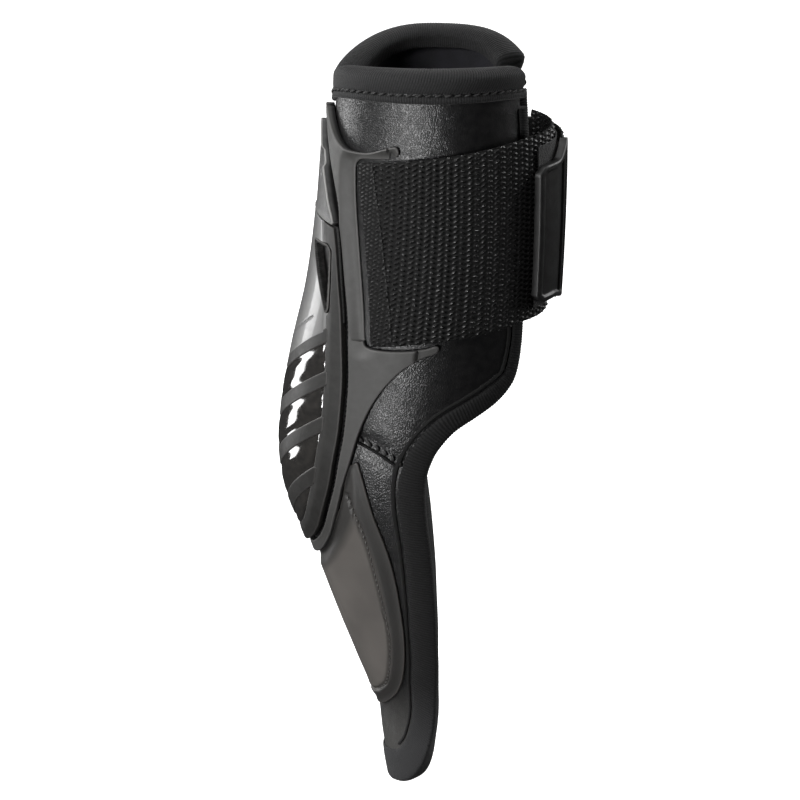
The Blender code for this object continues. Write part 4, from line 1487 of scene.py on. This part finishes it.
def placed(name, data, place, towards):
    """An object in the scene that looks along a direction."""
    obj = bpy.data.objects.new(name, data)
    obj.location = place
    obj.rotation_mode = "QUATERNION"
    obj.rotation_quaternion = towards.to_track_quat("-Z", "Y")
    bpy.context.scene.collection.objects.link(obj)
    return obj


def add_area(name, place, aim, size, power):
    lamp = bpy.data.lights.new(name, "AREA")
    lamp.shape = "RECTANGLE"
    lamp.size, lamp.size_y = size
    lamp.energy = power
    placed(name, lamp, place, Vector(aim) - Vector(place)).visible_camera = False


def add_backdrop(name, mesh, look):
    """Part of the plain white studio. It shows, but it throws no light and isn't mirrored in the boot."""
    mesh.materials.append(look)
    obj = bpy.data.objects.new(name, mesh)
    obj.visible_diffuse = False
    obj.visible_glossy = False
    obj.visible_transmission = False
    bpy.context.scene.collection.objects.link(obj)
    obj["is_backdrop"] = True
    return obj


def build_studio(low):
    scene = bpy.context.scene
    world = bpy.data.worlds.new("studio")
    world.use_nodes = True
    world.node_tree.nodes["Background"].inputs["Color"].default_value = (1, 1, 1, 1)
    world.node_tree.nodes["Background"].inputs["Strength"].default_value = 0.03
    scene.world = world
    scene.view_settings.view_transform = "Standard"
    half, level = 12.0, low - 0.0004
    corners = [(-half, -half, level), (half, -half, level), (half, half, level), (-half, half, level)]
    floor_mesh = bpy.data.meshes.new("studio_floor")
    floor_mesh.from_pydata(corners, [], [(0, 1, 2, 3)])
    add_backdrop("studio_floor", floor_mesh, floor_look("studio_floor", 0.92))
    wall_mesh = bpy.data.meshes.new("studio_wall")
    work = bmesh.new()
    bmesh.ops.create_uvsphere(work, u_segments=48, v_segments=24, radius=half)
    work.to_mesh(wall_mesh)
    work.free()
    wall = add_backdrop("studio_wall", wall_mesh, floor_look("studio_wall", 1.0))
    wall.visible_shadow = False
    aim = (0, 0, -0.06)
    for name, place, towards, size, power in (
        ("key_light", (-1.15, -0.75, 0.6), aim, (0.5, 0.7), 20),
        ("front_light", (-0.46, -1.05, -0.12), (0, 0, 0), (0.2, 0.36), 10),
        ("edge_light", (-1.0, 0.55, 0.1), aim, (0.35, 1.0), 9),
        ("top_light", (-0.2, 0.1, 1.2), aim, (0.8, 0.8), 6),
        ("fill_light", (0.95, 0.6, 0.5), aim, (1.0, 1.0), 12),
    ):
        add_area(name, place, towards, size, power)


def build_camera():
    """A long lens level with the strap, looking along +Y and a little down."""
    elevation, distance = math.radians(15.5), 4.0
    up = Vector((0, math.sin(elevation), math.cos(elevation)))
    back = Vector((0, -math.cos(elevation), math.sin(elevation)))
    target = Vector((-10.8, 0, 0)) * MM - up * 55.8 * MM
    camera = bpy.data.cameras.new("camera")
    camera.lens, camera.sensor_width = 500.0, 36.0
    camera.clip_start, camera.clip_end = 0.05, 60
    bpy.context.scene.camera = placed("camera", camera, target + back * distance, -back)


def make_looks():
    return {
        "leather": leather_look(),
        "lining": lining_look(),
        # The binding and band knits run from their dark to their light colour by rib height: painted shade
        # between the ribs.
        "binding": knit_look("binding_knit", 0.0005, (0.013, 0.013, 0.0135), pitch=0.5, sheen=0.06),
        "band": knit_look("band_knit", 0.002, (0.034, 0.034, 0.035), pitch=0.42, sheen=0.12),
        "piping": knit_look("piping_knit", 0.006, 0.012, pitch=0.4, sheen=0.05),
        "thread": thread_look("thread", 0.01, 0.04),
        "light_thread": thread_look("strike_thread", 0.02, (0.16, 0.157, 0.15)),
        "webbing": webbing_look(),
        "frame": moulding_look("frame_tpu", (0.045, 0.0445, 0.043), (0.09, 0.088, 0.086), 0.55, 0.03),
        "cage": moulding_look("cage_tpu", (0.014, 0.0137, 0.013), (0.05, 0.048, 0.046), 0.52, 0.03, 0.35),
        "plate": moulding_look("plate_tpu", 0.05, (0.24, 0.237, 0.23), 0.48, 0.015, 0.5),
        "skin": moulding_look(
            "skin_tpu", (0.115, 0.115, 0.114), 0.15, 0.38, 0.005, 0.45, Coat_Weight=0.35, Coat_Roughness=0.06
        ),
        "window": window_look(),
        # The vent's light edge colour, forty times its base, is edge wear and a painted highlight along the
        # bezel.
        "vent_wear_and_painted_highlight": moulding_look("vent_tpu", 0.003, (0.12, 0.117, 0.113), 0.45, 0.01, 0.12),
        "strike": strike_look(),
        "tab": moulding_look("tab_rubber", 0.008, 0.02, 0.42, 0.03),
        "loop": pile_look("loop_pile", 0.01, 1.4, 0.25),
        "hook": pile_look("hook_pile", 0.012, 1.0, 0.2),
        "ledge": hidden_look("ledge_tpu", (0.02, 0.02, 0.019), 0.6),
        "gel": hidden_look("gel_pad", (0.015, 0.015, 0.016), 0.4),
    }


def main():
    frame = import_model()
    build_camera()
    build_studio(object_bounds()[0].z)
    looks = make_looks()
    build_padding(looks)
    build_edge_bindings(looks)
    build_top_band(looks)
    build_frame(looks)
    build_shell(looks)
    build_strike_pad(looks)
    build_dart(looks)
    build_near_strap(looks)
    build_closure_strap(looks)
    build_panels(looks)
    dress_hidden_nodes(frame, looks)


main()
